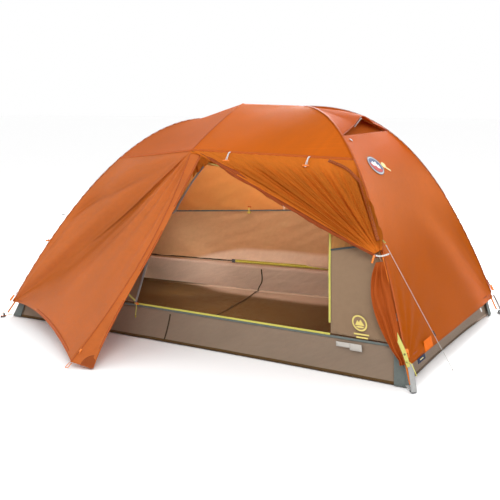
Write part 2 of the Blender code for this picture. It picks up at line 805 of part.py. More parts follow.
def make_interior_toggle():
    wall = side_wall(REAR)
    spot = wall(0.36, 0.44)
    hang = spot + Vector((0, -0.010, 0.0))
    toggle("interior_toggle", hang, (0.0, -0.001, -0.030), (0.9, 0.1, 0.2), 0.022)


def make_vestibule_slider():
    seam = door_seam(FRONT)
    spot = seam(0.055) + Vector((0.010, -0.0125, 0.0))
    heading = (seam(0.10) - seam(0.01)).normalized()
    block("vestibule_zip_slider", (0.010, 0.005, 0.016), spot, "orange_plastic", pivot=spot,
          rotation=heading.to_track_quat("Z", "Y"), bevel=0.001)


def main():
    clear_scene()
    make_poles()
    make_hubs()
    make_fly()
    make_vent_strut()
    make_floor()
    make_inner()
    make_corner_fittings()
    make_toggles()
    make_guys()
    make_stake_loops()
    make_interior_toggle()
    make_vestibule_slider()


main()
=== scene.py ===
"""Looks for the two-person double-door tent: cloth, seams, zips, webbing, poles and light."""
import math

import bmesh
import bpy
from mathutils import Matrix, Quaternion, Vector, noise


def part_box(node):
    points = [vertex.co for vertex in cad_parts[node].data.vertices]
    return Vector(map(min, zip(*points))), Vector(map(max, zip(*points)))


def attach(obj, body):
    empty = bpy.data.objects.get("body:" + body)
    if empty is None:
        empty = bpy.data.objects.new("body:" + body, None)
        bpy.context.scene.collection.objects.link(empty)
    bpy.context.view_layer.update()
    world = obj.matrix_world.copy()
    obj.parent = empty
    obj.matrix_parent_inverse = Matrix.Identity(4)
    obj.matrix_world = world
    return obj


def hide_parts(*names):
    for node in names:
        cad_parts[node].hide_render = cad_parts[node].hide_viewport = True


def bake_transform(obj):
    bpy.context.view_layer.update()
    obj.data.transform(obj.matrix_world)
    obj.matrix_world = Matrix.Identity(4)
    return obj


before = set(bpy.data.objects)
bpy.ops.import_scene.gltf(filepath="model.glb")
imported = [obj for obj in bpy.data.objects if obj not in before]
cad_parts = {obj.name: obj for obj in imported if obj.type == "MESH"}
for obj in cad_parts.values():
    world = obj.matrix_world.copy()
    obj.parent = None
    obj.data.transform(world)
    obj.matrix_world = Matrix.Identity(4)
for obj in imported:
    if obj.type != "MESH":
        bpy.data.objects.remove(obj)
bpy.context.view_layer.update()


# ---------------------------------------------------------------- the tent's lines, as in the CAD
FLOOR_LENGTH = 2.235
HEAD_WIDTH = 1.32
FOOT_WIDTH = 1.07
TUB_HEIGHT = 0.155
FOOT_OUT = 0.035          # pole tips stand this far outside the floor corners, each way
HEAD, TAIL = 1, -1        # +X and -X ends
FRONT, REAR = -1, 1       # -Y and +Y sides
PEAK_Z = 1.109            # fly over the middle of the ridge
HUB = {HEAD: Vector((0.33, 0.0, 1.10)), TAIL: Vector((-0.25, 0.0, 1.035))}
LEG_POWER = {HEAD: 2.43, TAIL: 1.80}      # how late each end's legs turn down
BROW_SPLIT = {HEAD: 0.515, TAIL: 0.40}    # where the brow seam meets the legs
BROW_Y, BROW_Z = 0.478, 0.909             # fly over the end of the cross pole
HEM_S = 0.955                             # legs' parameter at the fly's lower hem
POLE_RADIUS = 0.0043
POLE_DEPTH = 0.014        # pole axis under the fly
INNER_DEPTH = 0.045       # inner tent under the fly
STAKE = Vector((-0.248, 1.089, 0.030))    # vestibule stake-out point, rear side sign
FLAP_WIDTH = 0.027        # storm flap along the middle of the zip
FLAP_BOTTOM_WIDTH = 0.105
VENT_S = 0.405            # legs' parameter at the vent's lower edge
VENT_APEX = Vector((0.645, 0.0, 1.055))
HOOD_RISE = 0.036         # how far the hood is pulled flat along its middle
TIE_S = 0.775             # where the gathered door is tied to the front head leg
DOOR_RIGHT = [(0.762, 0.157), (0.735, 0.36), (0.702, 0.55), (0.622, 0.715), (0.40, 0.800),
              (0.08, 0.832)]
DOOR_LEFT = [(-0.300, 0.160), (-0.215, 0.40), (-0.104, 0.615), (0.045, 0.832)]


def smooth_path(points, count):
    """Catmull-Rom curve through the points, sampled evenly in parameter."""
    pts = [Vector(p) for p in points]
    pts = [pts[0] * 2 - pts[1]] + pts + [pts[-1] * 2 - pts[-2]]
    spans = len(pts) - 3
    out = []
    for i in range(count):
        t = i / (count - 1) * spans
        k = min(int(t), spans - 1)
        f = t - k
        a, b, c, d = pts[k:k + 4]
        out.append(0.5 * ((2 * b) + (c - a) * f + (2 * a - 5 * b + 4 * c - d) * f * f
                          + (3 * b - a - 3 * c + d) * f ** 3))
    return out


def path_function(points):
    """The same curve as a function of 0..1."""
    table = smooth_path(points, 65)

    def at(t):
        x = min(max(t, 0.0), 1.0) * (len(table) - 1)
        k = min(int(x), len(table) - 2)
        return table[k].lerp(table[k + 1], x - k)
    return at


def line(a, b):
    a, b = Vector(a), Vector(b)
    return lambda t: a.lerp(b, t)


def bowed(curve, offset):
    """A curve with a parabolic bow added, largest in the middle."""
    offset = Vector(offset)
    return lambda t: curve(t) + offset * (4 * t * (1 - t))


def coons(bottom, top, left, right):
    """Surface of (u, v) between four boundary curves that meet at their ends."""
    p00, p10, p01, p11 = bottom(0), bottom(1), top(0), top(1)

    def at(u, v):
        ruled_v = bottom(u) * (1 - v) + top(u) * v
        ruled_u = left(v) * (1 - u) + right(v) * u
        corners = (p00 * (1 - u) + p10 * u) * (1 - v) + (p01 * (1 - u) + p11 * u) * v
        return ruled_v + ruled_u - corners
    return at


def foot(end, side):
    width = HEAD_WIDTH if end == HEAD else FOOT_WIDTH
    return Vector((end * (FLOOR_LENGTH / 2 + FOOT_OUT), side * (width / 2 + FOOT_OUT), 0.0))


def floor_corner(end, side):
    width = HEAD_WIDTH if end == HEAD else FOOT_WIDTH
    return Vector((end * FLOOR_LENGTH / 2, side * width / 2, 0.0))


def leg_skin(end, side, s):
    """Fly seam over a leg, from its hub (s=0) to its foot (s=1)."""
    hub, tip = HUB[end], foot(end, side)
    point = hub.lerp(tip, s)
    point.z = hub.z * (1 - s ** LEG_POWER[end])
    return point


def leg_line(end, side, s, depth):
    """The leg's line moved inwards, square to it in the leg's own upright plane."""
    step = 0.001
    ahead = leg_skin(end, side, min(s + step, 1.0))
    behind = leg_skin(end, side, max(s - step, 0.0))
    tangent = (ahead - behind).normalized()
    flat = foot(end, side) - HUB[end]
    sideways = Vector((-flat.y, flat.x, 0.0)).normalized()
    inward = tangent.cross(sideways)
    if inward.z > 0:
        inward = -inward
    return leg_skin(end, side, s) + inward * depth


def leg_s_at_height(end, height):
    return (1 - height / HUB[end].z) ** (1 / LEG_POWER[end])


def brow_end(side):
    return Vector((0.0, side * BROW_Y, BROW_Z))


def brow_corner(end, side):
    return leg_skin(end, side, BROW_SPLIT[end])


def cross_height(y):
    return PEAK_Z - (PEAK_Z - BROW_Z) * (abs(y) / BROW_Y) ** 1.3


def hem_corner(end, side):
    return leg_skin(end, side, HEM_S)


def stake_point(side):
    return Vector((STAKE.x, side * STAKE.y, STAKE.z))


def door_seam(side):
    """Vestibule seam from the stake-out point up to the brow, hanging slack."""
    sag = Vector((0.0, -side * 0.085, -0.025))
    return bowed(line(stake_point(side), brow_end(side)), sag)


def corners():
    return [(HEAD, FRONT, "front_right"), (HEAD, REAR, "rear_right"),
            (TAIL, FRONT, "front_left"), (TAIL, REAR, "rear_left")]


def roof_surface(depth):
    """Cap between the brow seams, as one surface of (u, v): left to right, front to rear."""
    def quadrant(end, side):
        drop = Vector((0, 0, depth))
        hub, peak = HUB[end] - drop, Vector((0, 0, PEAK_Z)) - drop
        split = BROW_SPLIT[end]
        brow = leg_line(end, side, split, depth)
        tip = brow_end(side) - Vector((0, side * depth * 0.6, depth))

        def leg(t):
            if t <= 0:
                return hub.copy()
            return leg_line(end, side, split * t, depth) if t < 1 else brow.copy()

        def cross(t):
            y = side * BROW_Y * t
            point = Vector((0, y, cross_height(y) - depth))
            return point.lerp(tip, t)
        return coons(line(hub, peak), line(brow, tip), leg, cross)

    quads = {(e, s): quadrant(e, s) for e in (HEAD, TAIL) for s in (FRONT, REAR)}

    def at(u, v):
        end = HEAD if u >= 0.5 else TAIL
        side = REAR if v >= 0.5 else FRONT
        along = 1 - abs(u - 0.5) * 2
        down = abs(v - 0.5) * 2
        return quads[(end, side)](along, down)
    return at


def end_surface(end, s_top, depth=0.0, s_bottom=HEM_S, bow=0.012):
    """Panel between the two legs of one end; v runs from the bottom edge up."""
    def leg(side):
        return lambda t: leg_line(end, side, s_bottom + (s_top - s_bottom) * t, depth)
    low = line(leg(FRONT)(0), leg(REAR)(0))
    high = line(leg(FRONT)(1), leg(REAR)(1))
    flat = coons(low, high, leg(FRONT), leg(REAR))

    def at(u, v):
        hollow = bow * 4 * u * (1 - u) * math.sin(math.pi * min(max(v, 0.0), 1.0))
        return flat(u, v) - Vector((end * hollow, 0, 0))
    return at


def hood_surface():
    """Vent hood: from the head hub out to its propped lower edge."""
    def leg(side):
        return lambda t: leg_skin(HEAD, side, VENT_S * t)
    left, right = leg(FRONT), leg(REAR)
    edge = path_function([left(1), left(1).lerp(VENT_APEX, 0.52) + Vector((0, 0, -0.004)),
                          VENT_APEX,
                          right(1).lerp(VENT_APEX, 0.52) + Vector((0, 0, -0.004)), right(1)])
    hub = HUB[HEAD]
    arched = coons(lambda t: hub.copy(), edge, left, right)

    def at(u, v):
        taut = HOOD_RISE * 4 * u * (1 - u) * 4 * v * (1 - v)
        return arched(u, v) - Vector((0, 0, taut))
    return at


def tie_point():
    return leg_skin(HEAD, FRONT, TIE_S) + Vector((0.006, -0.018, 0.0))


def roll_line():
    start = brow_end(FRONT) + Vector((0.060, -0.010, -0.028))
    end = tie_point() + Vector((-0.030, -0.004, -0.010))
    return bowed(line(start, end), (0.0, 0.0, -0.020))


def tub_top(end, side):
    s = leg_s_at_height(end, TUB_HEIGHT + 0.03)
    point = leg_line(end, side, s, 0.020)
    point.z = TUB_HEIGHT
    return point


def blend_corners(corner, fx, fy):
    front = corner(TAIL, FRONT).lerp(corner(HEAD, FRONT), fx)
    rear = corner(TAIL, REAR).lerp(corner(HEAD, REAR), fx)
    return front.lerp(rear, fy)


def side_wall(side):
    """Inner wall of one long side, of (u, w): left to right, tub seam to brow."""
    rise = Vector((0, 0, 0.006))
    low = line(tub_top(TAIL, side) + rise, tub_top(HEAD, side) + rise)
    tip = brow_end(side) - Vector((0, side * 0.036, 0.048))
    corner = {end: leg_line(end, side, BROW_SPLIT[end] + 0.01, INNER_DEPTH) for end in (HEAD, TAIL)}

    def high(t):
        if t < 0.5:
            return corner[TAIL].lerp(tip, t * 2)
        return tip.lerp(corner[HEAD], t * 2 - 1)

    def edge(end):
        bottom = tub_top(end, side) + rise
        s_low = leg_s_at_height(end, TUB_HEIGHT + 0.03)
        s_high = BROW_SPLIT[end] + 0.01

        def at(t):
            point = leg_line(end, side, s_low + (s_high - s_low) * t, INNER_DEPTH)
            return point + (bottom - leg_line(end, side, s_low, INNER_DEPTH)) * (1 - t) ** 3
        return at
    return coons(low, high, edge(TAIL), edge(HEAD))


def wall_share(x, z):
    """Rough (u, w) of a place on the front wall, from its x and height."""
    left, right = tub_top(TAIL, FRONT).x, tub_top(HEAD, FRONT).x
    top = brow_end(FRONT).z - 0.048
    w = (z - TUB_HEIGHT) / (top - TUB_HEIGHT)
    upper_left = leg_line(TAIL, FRONT, BROW_SPLIT[TAIL], INNER_DEPTH).x
    upper_right = leg_line(HEAD, FRONT, BROW_SPLIT[HEAD], INNER_DEPTH).x
    low_x = left + (upper_left - left) * w
    high_x = right + (upper_right - right) * w
    return Vector(((x - low_x) / (high_x - low_x), w, 0.0))


def door_curve(points):
    shares = [wall_share(x, z) for x, z in points]
    return path_function(shares)


def inner_end_surface(end, s_low):
    flat = end_surface(end, 0.06, INNER_DEPTH, s_low, bow=0.006)
    shift = {side: tub_top(end, side) + Vector((0, 0, 0.006)) - leg_line(end, side, s_low,
                                                                        INNER_DEPTH)
             for side in (FRONT, REAR)}

    def at(u, v):
        move = shift[FRONT].lerp(shift[REAR], u)
        return flat(u, v) + move * (1 - min(v, 1.0)) ** 3
    return at


def guy_line():
    start = leg_skin(HEAD, FRONT, 0.757) + Vector((0.020, -0.012, 0.012))
    return start, Vector((1.219, -0.362, 0.0022))


# ---------------------------------------------------------------- camera, floor and light
def make_camera():
    """Eye level view of the front right corner."""
    turn, distance, height = math.radians(29.7), 4.493, 1.181
    azimuth, pitch, roll = math.radians(29.33), math.radians(-10.32), math.radians(-0.5)
    forward = Vector((-math.sin(azimuth) * math.cos(pitch),
                      math.cos(azimuth) * math.cos(pitch), math.sin(pitch)))
    level = Vector((math.cos(azimuth), math.sin(azimuth), 0.0))
    above = level.cross(forward)
    right = level * math.cos(roll) + above * math.sin(roll)
    up = above * math.cos(roll) - level * math.sin(roll)
    data = bpy.data.cameras.new("camera")
    data.sensor_width = 36.0
    data.lens = 63.43
    data.clip_end = 100.0
    camera = bpy.data.objects.new("camera", data)
    bpy.context.scene.collection.objects.link(camera)
    spin = Matrix((right, up, -forward)).transposed()
    camera.matrix_world = Matrix.Translation(
        (distance * math.sin(turn), -distance * math.cos(turn), height)) @ spin.to_4x4()
    bpy.context.scene.camera = camera


def area_light(name, place, aim, size, power, colour=(1, 1, 1)):
    data = bpy.data.lights.new(name, "AREA")
    data.shape = "DISK"
    data.size = size
    data.energy = power
    data.color = colour
    light = bpy.data.objects.new(name, data)
    bpy.context.scene.collection.objects.link(light)
    light.location = place
    light.rotation_mode = "QUATERNION"
    light.rotation_quaternion = (Vector(aim) - Vector(place)).to_track_quat("-Z", "Y")


def make_stage():
    mesh = bpy.data.meshes.new("floor")
    mesh.from_pydata([(-30, -30, -0.0015), (30, -30, -0.0015), (30, 30, -0.0015),
                      (-30, 30, -0.0015)], [], [(0, 1, 2, 3)])
    ground = bpy.data.objects.new("floor", mesh)
    bpy.context.scene.collection.objects.link(ground)
    made = bpy.data.materials.new("studio_floor")
    made.use_nodes = True
    shader = made.node_tree.nodes["Principled BSDF"]
    shader.inputs["Base Color"].default_value = (0.985, 0.985, 0.985, 1)
    shader.inputs["Roughness"].default_value = 0.9
    mesh.materials.append(made)
    world = bpy.data.worlds.new("studio")
    world.use_nodes = True
    sky = world.node_tree.nodes["Background"]
    sky.inputs["Color"].default_value = (1.0, 1.0, 1.0, 1)
    sky.inputs["Strength"].default_value = 1.0
    bpy.context.scene.world = world
    area_light("key", (2.6, -4.6, 4.2), (0, 0, 0.4), 3.0, 150)
    area_light("fill", (-4.5, -3.0, 2.6), (0, 0, 0.4), 3.5, 40)
    area_light("back", (-0.6, 4.6, 2.8), (0, 0, 0.5), 3.5, 560)
    area_light("low", (-0.60, 0.27, 0.20), (-0.68, 0.62, 0.08), 0.26, 0.55,
               (1.0, 0.93, 0.86))
    area_light("inside", (-0.12, -0.06, 0.66), (-0.10, 0.60, 0.30), 0.80, 7.0,
               (1.0, 0.88, 0.74))
    bpy.context.scene.view_settings.view_transform = "Standard"


make_camera()
make_stage()


# ---------------------------------------------------------------- material building
class Graph:
    """Short names for building one material's node tree."""

    def __init__(self, name):
        self.made = bpy.data.materials.new(name)
        self.made.use_nodes = True
        self.tree = self.made.node_tree
        self.tree.nodes.clear()
        self.out = self.node("ShaderNodeOutputMaterial")
        self.uv = self.node("ShaderNodeTexCoord").outputs["UV"]

    def node(self, kind, **settings):
        made = self.tree.nodes.new(kind)
        for key, value in settings.items():
            setattr(made, key, value)
        return made

    def link(self, a, b):
        self.tree.links.new(a, b)

    def put(self, socket, value):
        if isinstance(value, bpy.types.NodeSocket):
            self.link(value, socket)
        else:
            socket.default_value = (*value, 1) if socket.type == "RGBA" else value

    def math(self, operation, a, b=0.0, c=0.0):
        made = self.node("ShaderNodeMath", operation=operation)
        for socket, value in zip(made.inputs, (a, b, c)):
            self.put(socket, value)
        return made.outputs[0]

    def noise(self, scale, detail=3.0, stretch=(1, 1, 1), turn=0.0):
        place = self.node("ShaderNodeMapping")
        self.link(self.uv, place.inputs["Vector"])
        place.inputs["Scale"].default_value = stretch
        place.inputs["Rotation"].default_value = (0, 0, turn)
        made = self.node("ShaderNodeTexNoise")
        self.link(place.outputs[0], made.inputs["Vector"])
        made.inputs["Scale"].default_value = scale
        made.inputs["Detail"].default_value = detail
        return made.outputs["Fac"]

    def split_uv(self):
        made = self.node("ShaderNodeSeparateXYZ")
        self.link(self.uv, made.inputs[0])
        return made.outputs[0], made.outputs[1]

    def span(self, value, low, high, to_low=0.0, to_high=1.0):
        made = self.node("ShaderNodeMapRange")
        for socket, number in zip(made.inputs, (value, low, high, to_low, to_high)):
            self.put(socket, number)
        return made.outputs[0]

    def mix(self, share, first, second):
        """Colour between two colours."""
        made = self.node("ShaderNodeMix", data_type="RGBA")
        self.link(share, made.inputs["Factor"])
        sockets = [s for s in made.inputs if s.type == "RGBA"]
        self.put(sockets[0], first)
        self.put(sockets[1], second)
        return next(o for o in made.outputs if o.type == "RGBA")

    def join(self, share, first, second):
        """Shader between two shaders."""
        made = self.node("ShaderNodeMixShader")
        for socket, value in zip(made.inputs, (share, first, second)):
            self.put(socket, value)
        return made.outputs[0]

    def bands(self, heights, low=0.0, axis=2):
        """Colour that blends between the listed ones along one axis, measured from low."""
        place = self.node("ShaderNodeSeparateXYZ")
        self.link(self.node("ShaderNodeTexCoord").outputs["Object"], place.inputs[0])
        made = self.node("ShaderNodeValToRGB")
        self.link(self.math("SUBTRACT", place.outputs[axis], low), made.inputs[0])
        stops = made.color_ramp.elements
        while len(stops) < len(heights):
            stops.new(0.5)
        for stop, (height, colour) in zip(stops, heights):
            stop.position = height
            stop.color = (*colour, 1)
        return made.outputs[0]

    def tint(self, colour, value, low, high, amount):
        """Multiply a colour by 1 +/- amount as value goes from low to high."""
        made = self.node("ShaderNodeVectorMath", operation="SCALE")
        self.put(made.inputs[0], colour)
        self.link(self.span(value, low, high, 1 - amount, 1 + amount), made.inputs["Scale"])
        return made.outputs[0]

    def bump(self, height, distance, strength=1.0, after=None):
        made = self.node("ShaderNodeBump")
        made.inputs["Distance"].default_value = distance
        made.inputs["Strength"].default_value = strength
        self.link(height, made.inputs["Height"])
        if after is not None:
            self.link(after, made.inputs["Normal"])
        return made.outputs[0]

    def shader(self, colour, roughness, normal, metallic=0.0, sheen=0.0, coat=0.0, shine=0.5):
        made = self.node("ShaderNodeBsdfPrincipled")
        for name, value in (("Base Color", colour), ("Roughness", roughness),
                            ("Metallic", metallic), ("Sheen Weight", sheen),
                            ("Sheen Roughness", 0.4), ("Specular IOR Level", shine),
                            ("Coat Weight", coat), ("Normal", normal)):
            self.put(made.inputs[name], value)
        return made.outputs[0]

    def finish(self, shader):
        self.link(shader, self.out.inputs["Surface"])
        return self.made


def weave(g, pitch):
    """Over-and-under threads of a plain weave, 0..1, with the UVs in metres."""
    u, v = g.split_uv()
    along = g.math("SINE", g.math("MULTIPLY", u, 2 * math.pi / pitch))
    across = g.math("SINE", g.math("MULTIPLY", v, 2 * math.pi / pitch))
    return g.math("MULTIPLY_ADD", g.math("MULTIPLY", along, across), 0.5, 0.5)


def ripstop(g, pitch):
    """Thicker threads in a square grid, 1 on the grid lines."""
    u, v = g.split_uv()
    lines = []
    for axis in (u, v):
        share = g.math("FRACT", g.math("DIVIDE", axis, pitch))
        lines.append(g.math("GREATER_THAN", share, 0.86))
    return g.math("MAXIMUM", lines[0], lines[1])


def stitches(g, rows, period=0.0042, width=0.0011):
    """Running stitches along v at each distance of u in rows, 0 or 1."""
    u, v = g.split_uv()
    dash = g.math("LESS_THAN", g.math("FRACT", g.math("DIVIDE", v, period)), 0.68)
    total = None
    for row in rows:
        near = g.math("LESS_THAN", g.math("ABSOLUTE", g.math("SUBTRACT", u, row)), width / 2)
        total = near if total is None else g.math("MAXIMUM", total, near)
    return g.math("MULTIPLY", total, dash)


def cloth_material(name, colour, roughness=0.55, sheen=0.25, through=0.0, see=0.0, pitch=0.0011,
                   grid=0.0, vary=0.07, wrinkle=0.0020, crinkle=9.0, thread=None, rows=(),
                   shine=0.16, heights=(), painted_shading_colour=None, low=0.0, axis=2):
    """Woven cloth: colour variation, fine weave, soft creases, optional grid and stitches.

    through is the share of light passing from behind, see the share of open mesh.
    heights lists (place - low, colour) where the colour changes along an axis: painted highlight and
    shade on the fly.
    The painted shading colour is what the mesh's stored share blends to: a deeper painted shade in the
    fly's valleys, a paler painted light on the far walls and the floor.
    """
    g = Graph(name)
    broad = g.noise(2.3, 2.0)
    fine = g.noise(38.0, 4.0)
    base = g.bands(heights, low, axis) if heights else colour
    # painted light and shade: the mesh's stored 0..1 share blends the colour towards the given painted
    # colour, deeper for shade in valleys, paler for light
    if painted_shading_colour:
        painted_shading = g.node("ShaderNodeAttribute", attribute_name="painted_shading").outputs["Fac"]
        base = g.mix(painted_shading, base, painted_shading_colour)
    shade = g.tint(base, broad, 0.3, 0.7, vary)
    shade = g.tint(shade, fine, 0.3, 0.7, vary * 0.5)
    threads = weave(g, pitch)
    shade = g.tint(shade, threads, 0.0, 1.0, 0.05)
    height = threads
    if grid > 0:
        lines = ripstop(g, grid)
        shade = g.tint(shade, lines, 0.0, 1.0, 0.035)
        height = g.math("MULTIPLY_ADD", lines, 1.5, threads)
    creases = g.noise(crinkle, 5.0, (1.0, 0.35, 1.0), 0.5)
    normal = g.bump(creases, wrinkle)
    normal = g.bump(g.noise(crinkle * 4, 3.0, (0.5, 1.0, 1.0), -0.4), wrinkle * 0.35, 1.0, normal)
    normal = g.bump(height, 0.00025, 0.8, normal)
    if rows:
        sewn = stitches(g, rows)
        shade = g.mix(sewn, shade, thread or colour)
        normal = g.bump(sewn, 0.0006, 1.0, normal)
    rough = g.math("MULTIPLY_ADD", fine, 0.18, roughness - 0.09)
    result = g.shader(shade, rough, normal, sheen=sheen, shine=shine)
    if through > 0:
        lit = g.node("ShaderNodeBsdfTranslucent")
        g.put(lit.inputs["Color"], shade)
        g.link(normal, lit.inputs["Normal"])
        result = g.join(through, result, lit.outputs[0])
    if see > 0:
        clear = g.node("ShaderNodeBsdfTransparent")
        result = g.join(see, result, clear.outputs[0])
    return g.finish(result)


def webbing_material(name, colour, pitch=0.0022, vary=0.08):
    """Flat woven tape with a diagonal rib."""
    g = Graph(name)
    u, v = g.split_uv()
    diagonal = g.math("ADD", g.math("ABSOLUTE", g.math("SUBTRACT", g.math("FRACT", g.math(
        "DIVIDE", u, pitch * 3)), 0.5)), g.math("DIVIDE", v, pitch))
    ribs = g.math("MULTIPLY_ADD", g.math("SINE", g.math("MULTIPLY", diagonal, 2 * math.pi)),
                  0.5, 0.5)
    shade = g.tint(colour, ribs, 0.0, 1.0, 0.14)
    shade = g.tint(shade, g.noise(60.0, 3.0), 0.3, 0.7, vary)
    normal = g.bump(ribs, 0.0005)
    return g.finish(g.shader(shade, 0.85, normal, sheen=0.2))


def plastic_material(name, colour, roughness=0.38, coat=0.1):
    """Moulded plastic: slight mottling, fine scuffs."""
    g = Graph(name)
    scuff = g.noise(90.0, 6.0, (1.0, 0.2, 1.0), 0.7)
    shade = g.tint(colour, g.noise(25.0, 2.0), 0.3, 0.7, 0.05)
    rough = g.math("MULTIPLY_ADD", scuff, 0.25, roughness - 0.12)
    normal = g.bump(g.noise(220.0, 2.0), 0.0001, 0.5)
    return g.finish(g.shader(shade, rough, normal, coat=coat))


def metal_material(name, colour, roughness=0.28):
    """Anodised or bare tube: draw lines along its length."""
    g = Graph(name)
    drawn = g.noise(40.0, 4.0, (30.0, 0.4, 1.0))
    shade = g.tint(colour, drawn, 0.3, 0.7, 0.06)
    rough = g.math("MULTIPLY_ADD", drawn, 0.2, roughness - 0.08)
    normal = g.bump(drawn, 0.00006, 0.6)
    return g.finish(g.shader(shade, rough, normal, metallic=1.0))


def cord_material(name, colour, fleck, pitch=0.0032):
    """Braided cord with a fleck thread."""
    g = Graph(name)
    u, v = g.split_uv()
    angle = g.math("MULTIPLY", u, 2 * math.pi)
    run = g.math("MULTIPLY", v, 2 * math.pi / pitch)
    one = g.math("SINE", g.math("ADD", g.math("MULTIPLY", angle, 2), run))
    two = g.math("SINE", g.math("SUBTRACT", g.math("MULTIPLY", angle, 2), run))
    braid = g.math("MULTIPLY_ADD", g.math("MULTIPLY", one, two), 0.5, 0.5)
    shade = g.mix(g.span(braid, 0.55, 0.8), colour, fleck)
    normal = g.bump(braid, 0.0004)
    return g.finish(g.shader(shade, 0.8, normal, sheen=0.2))


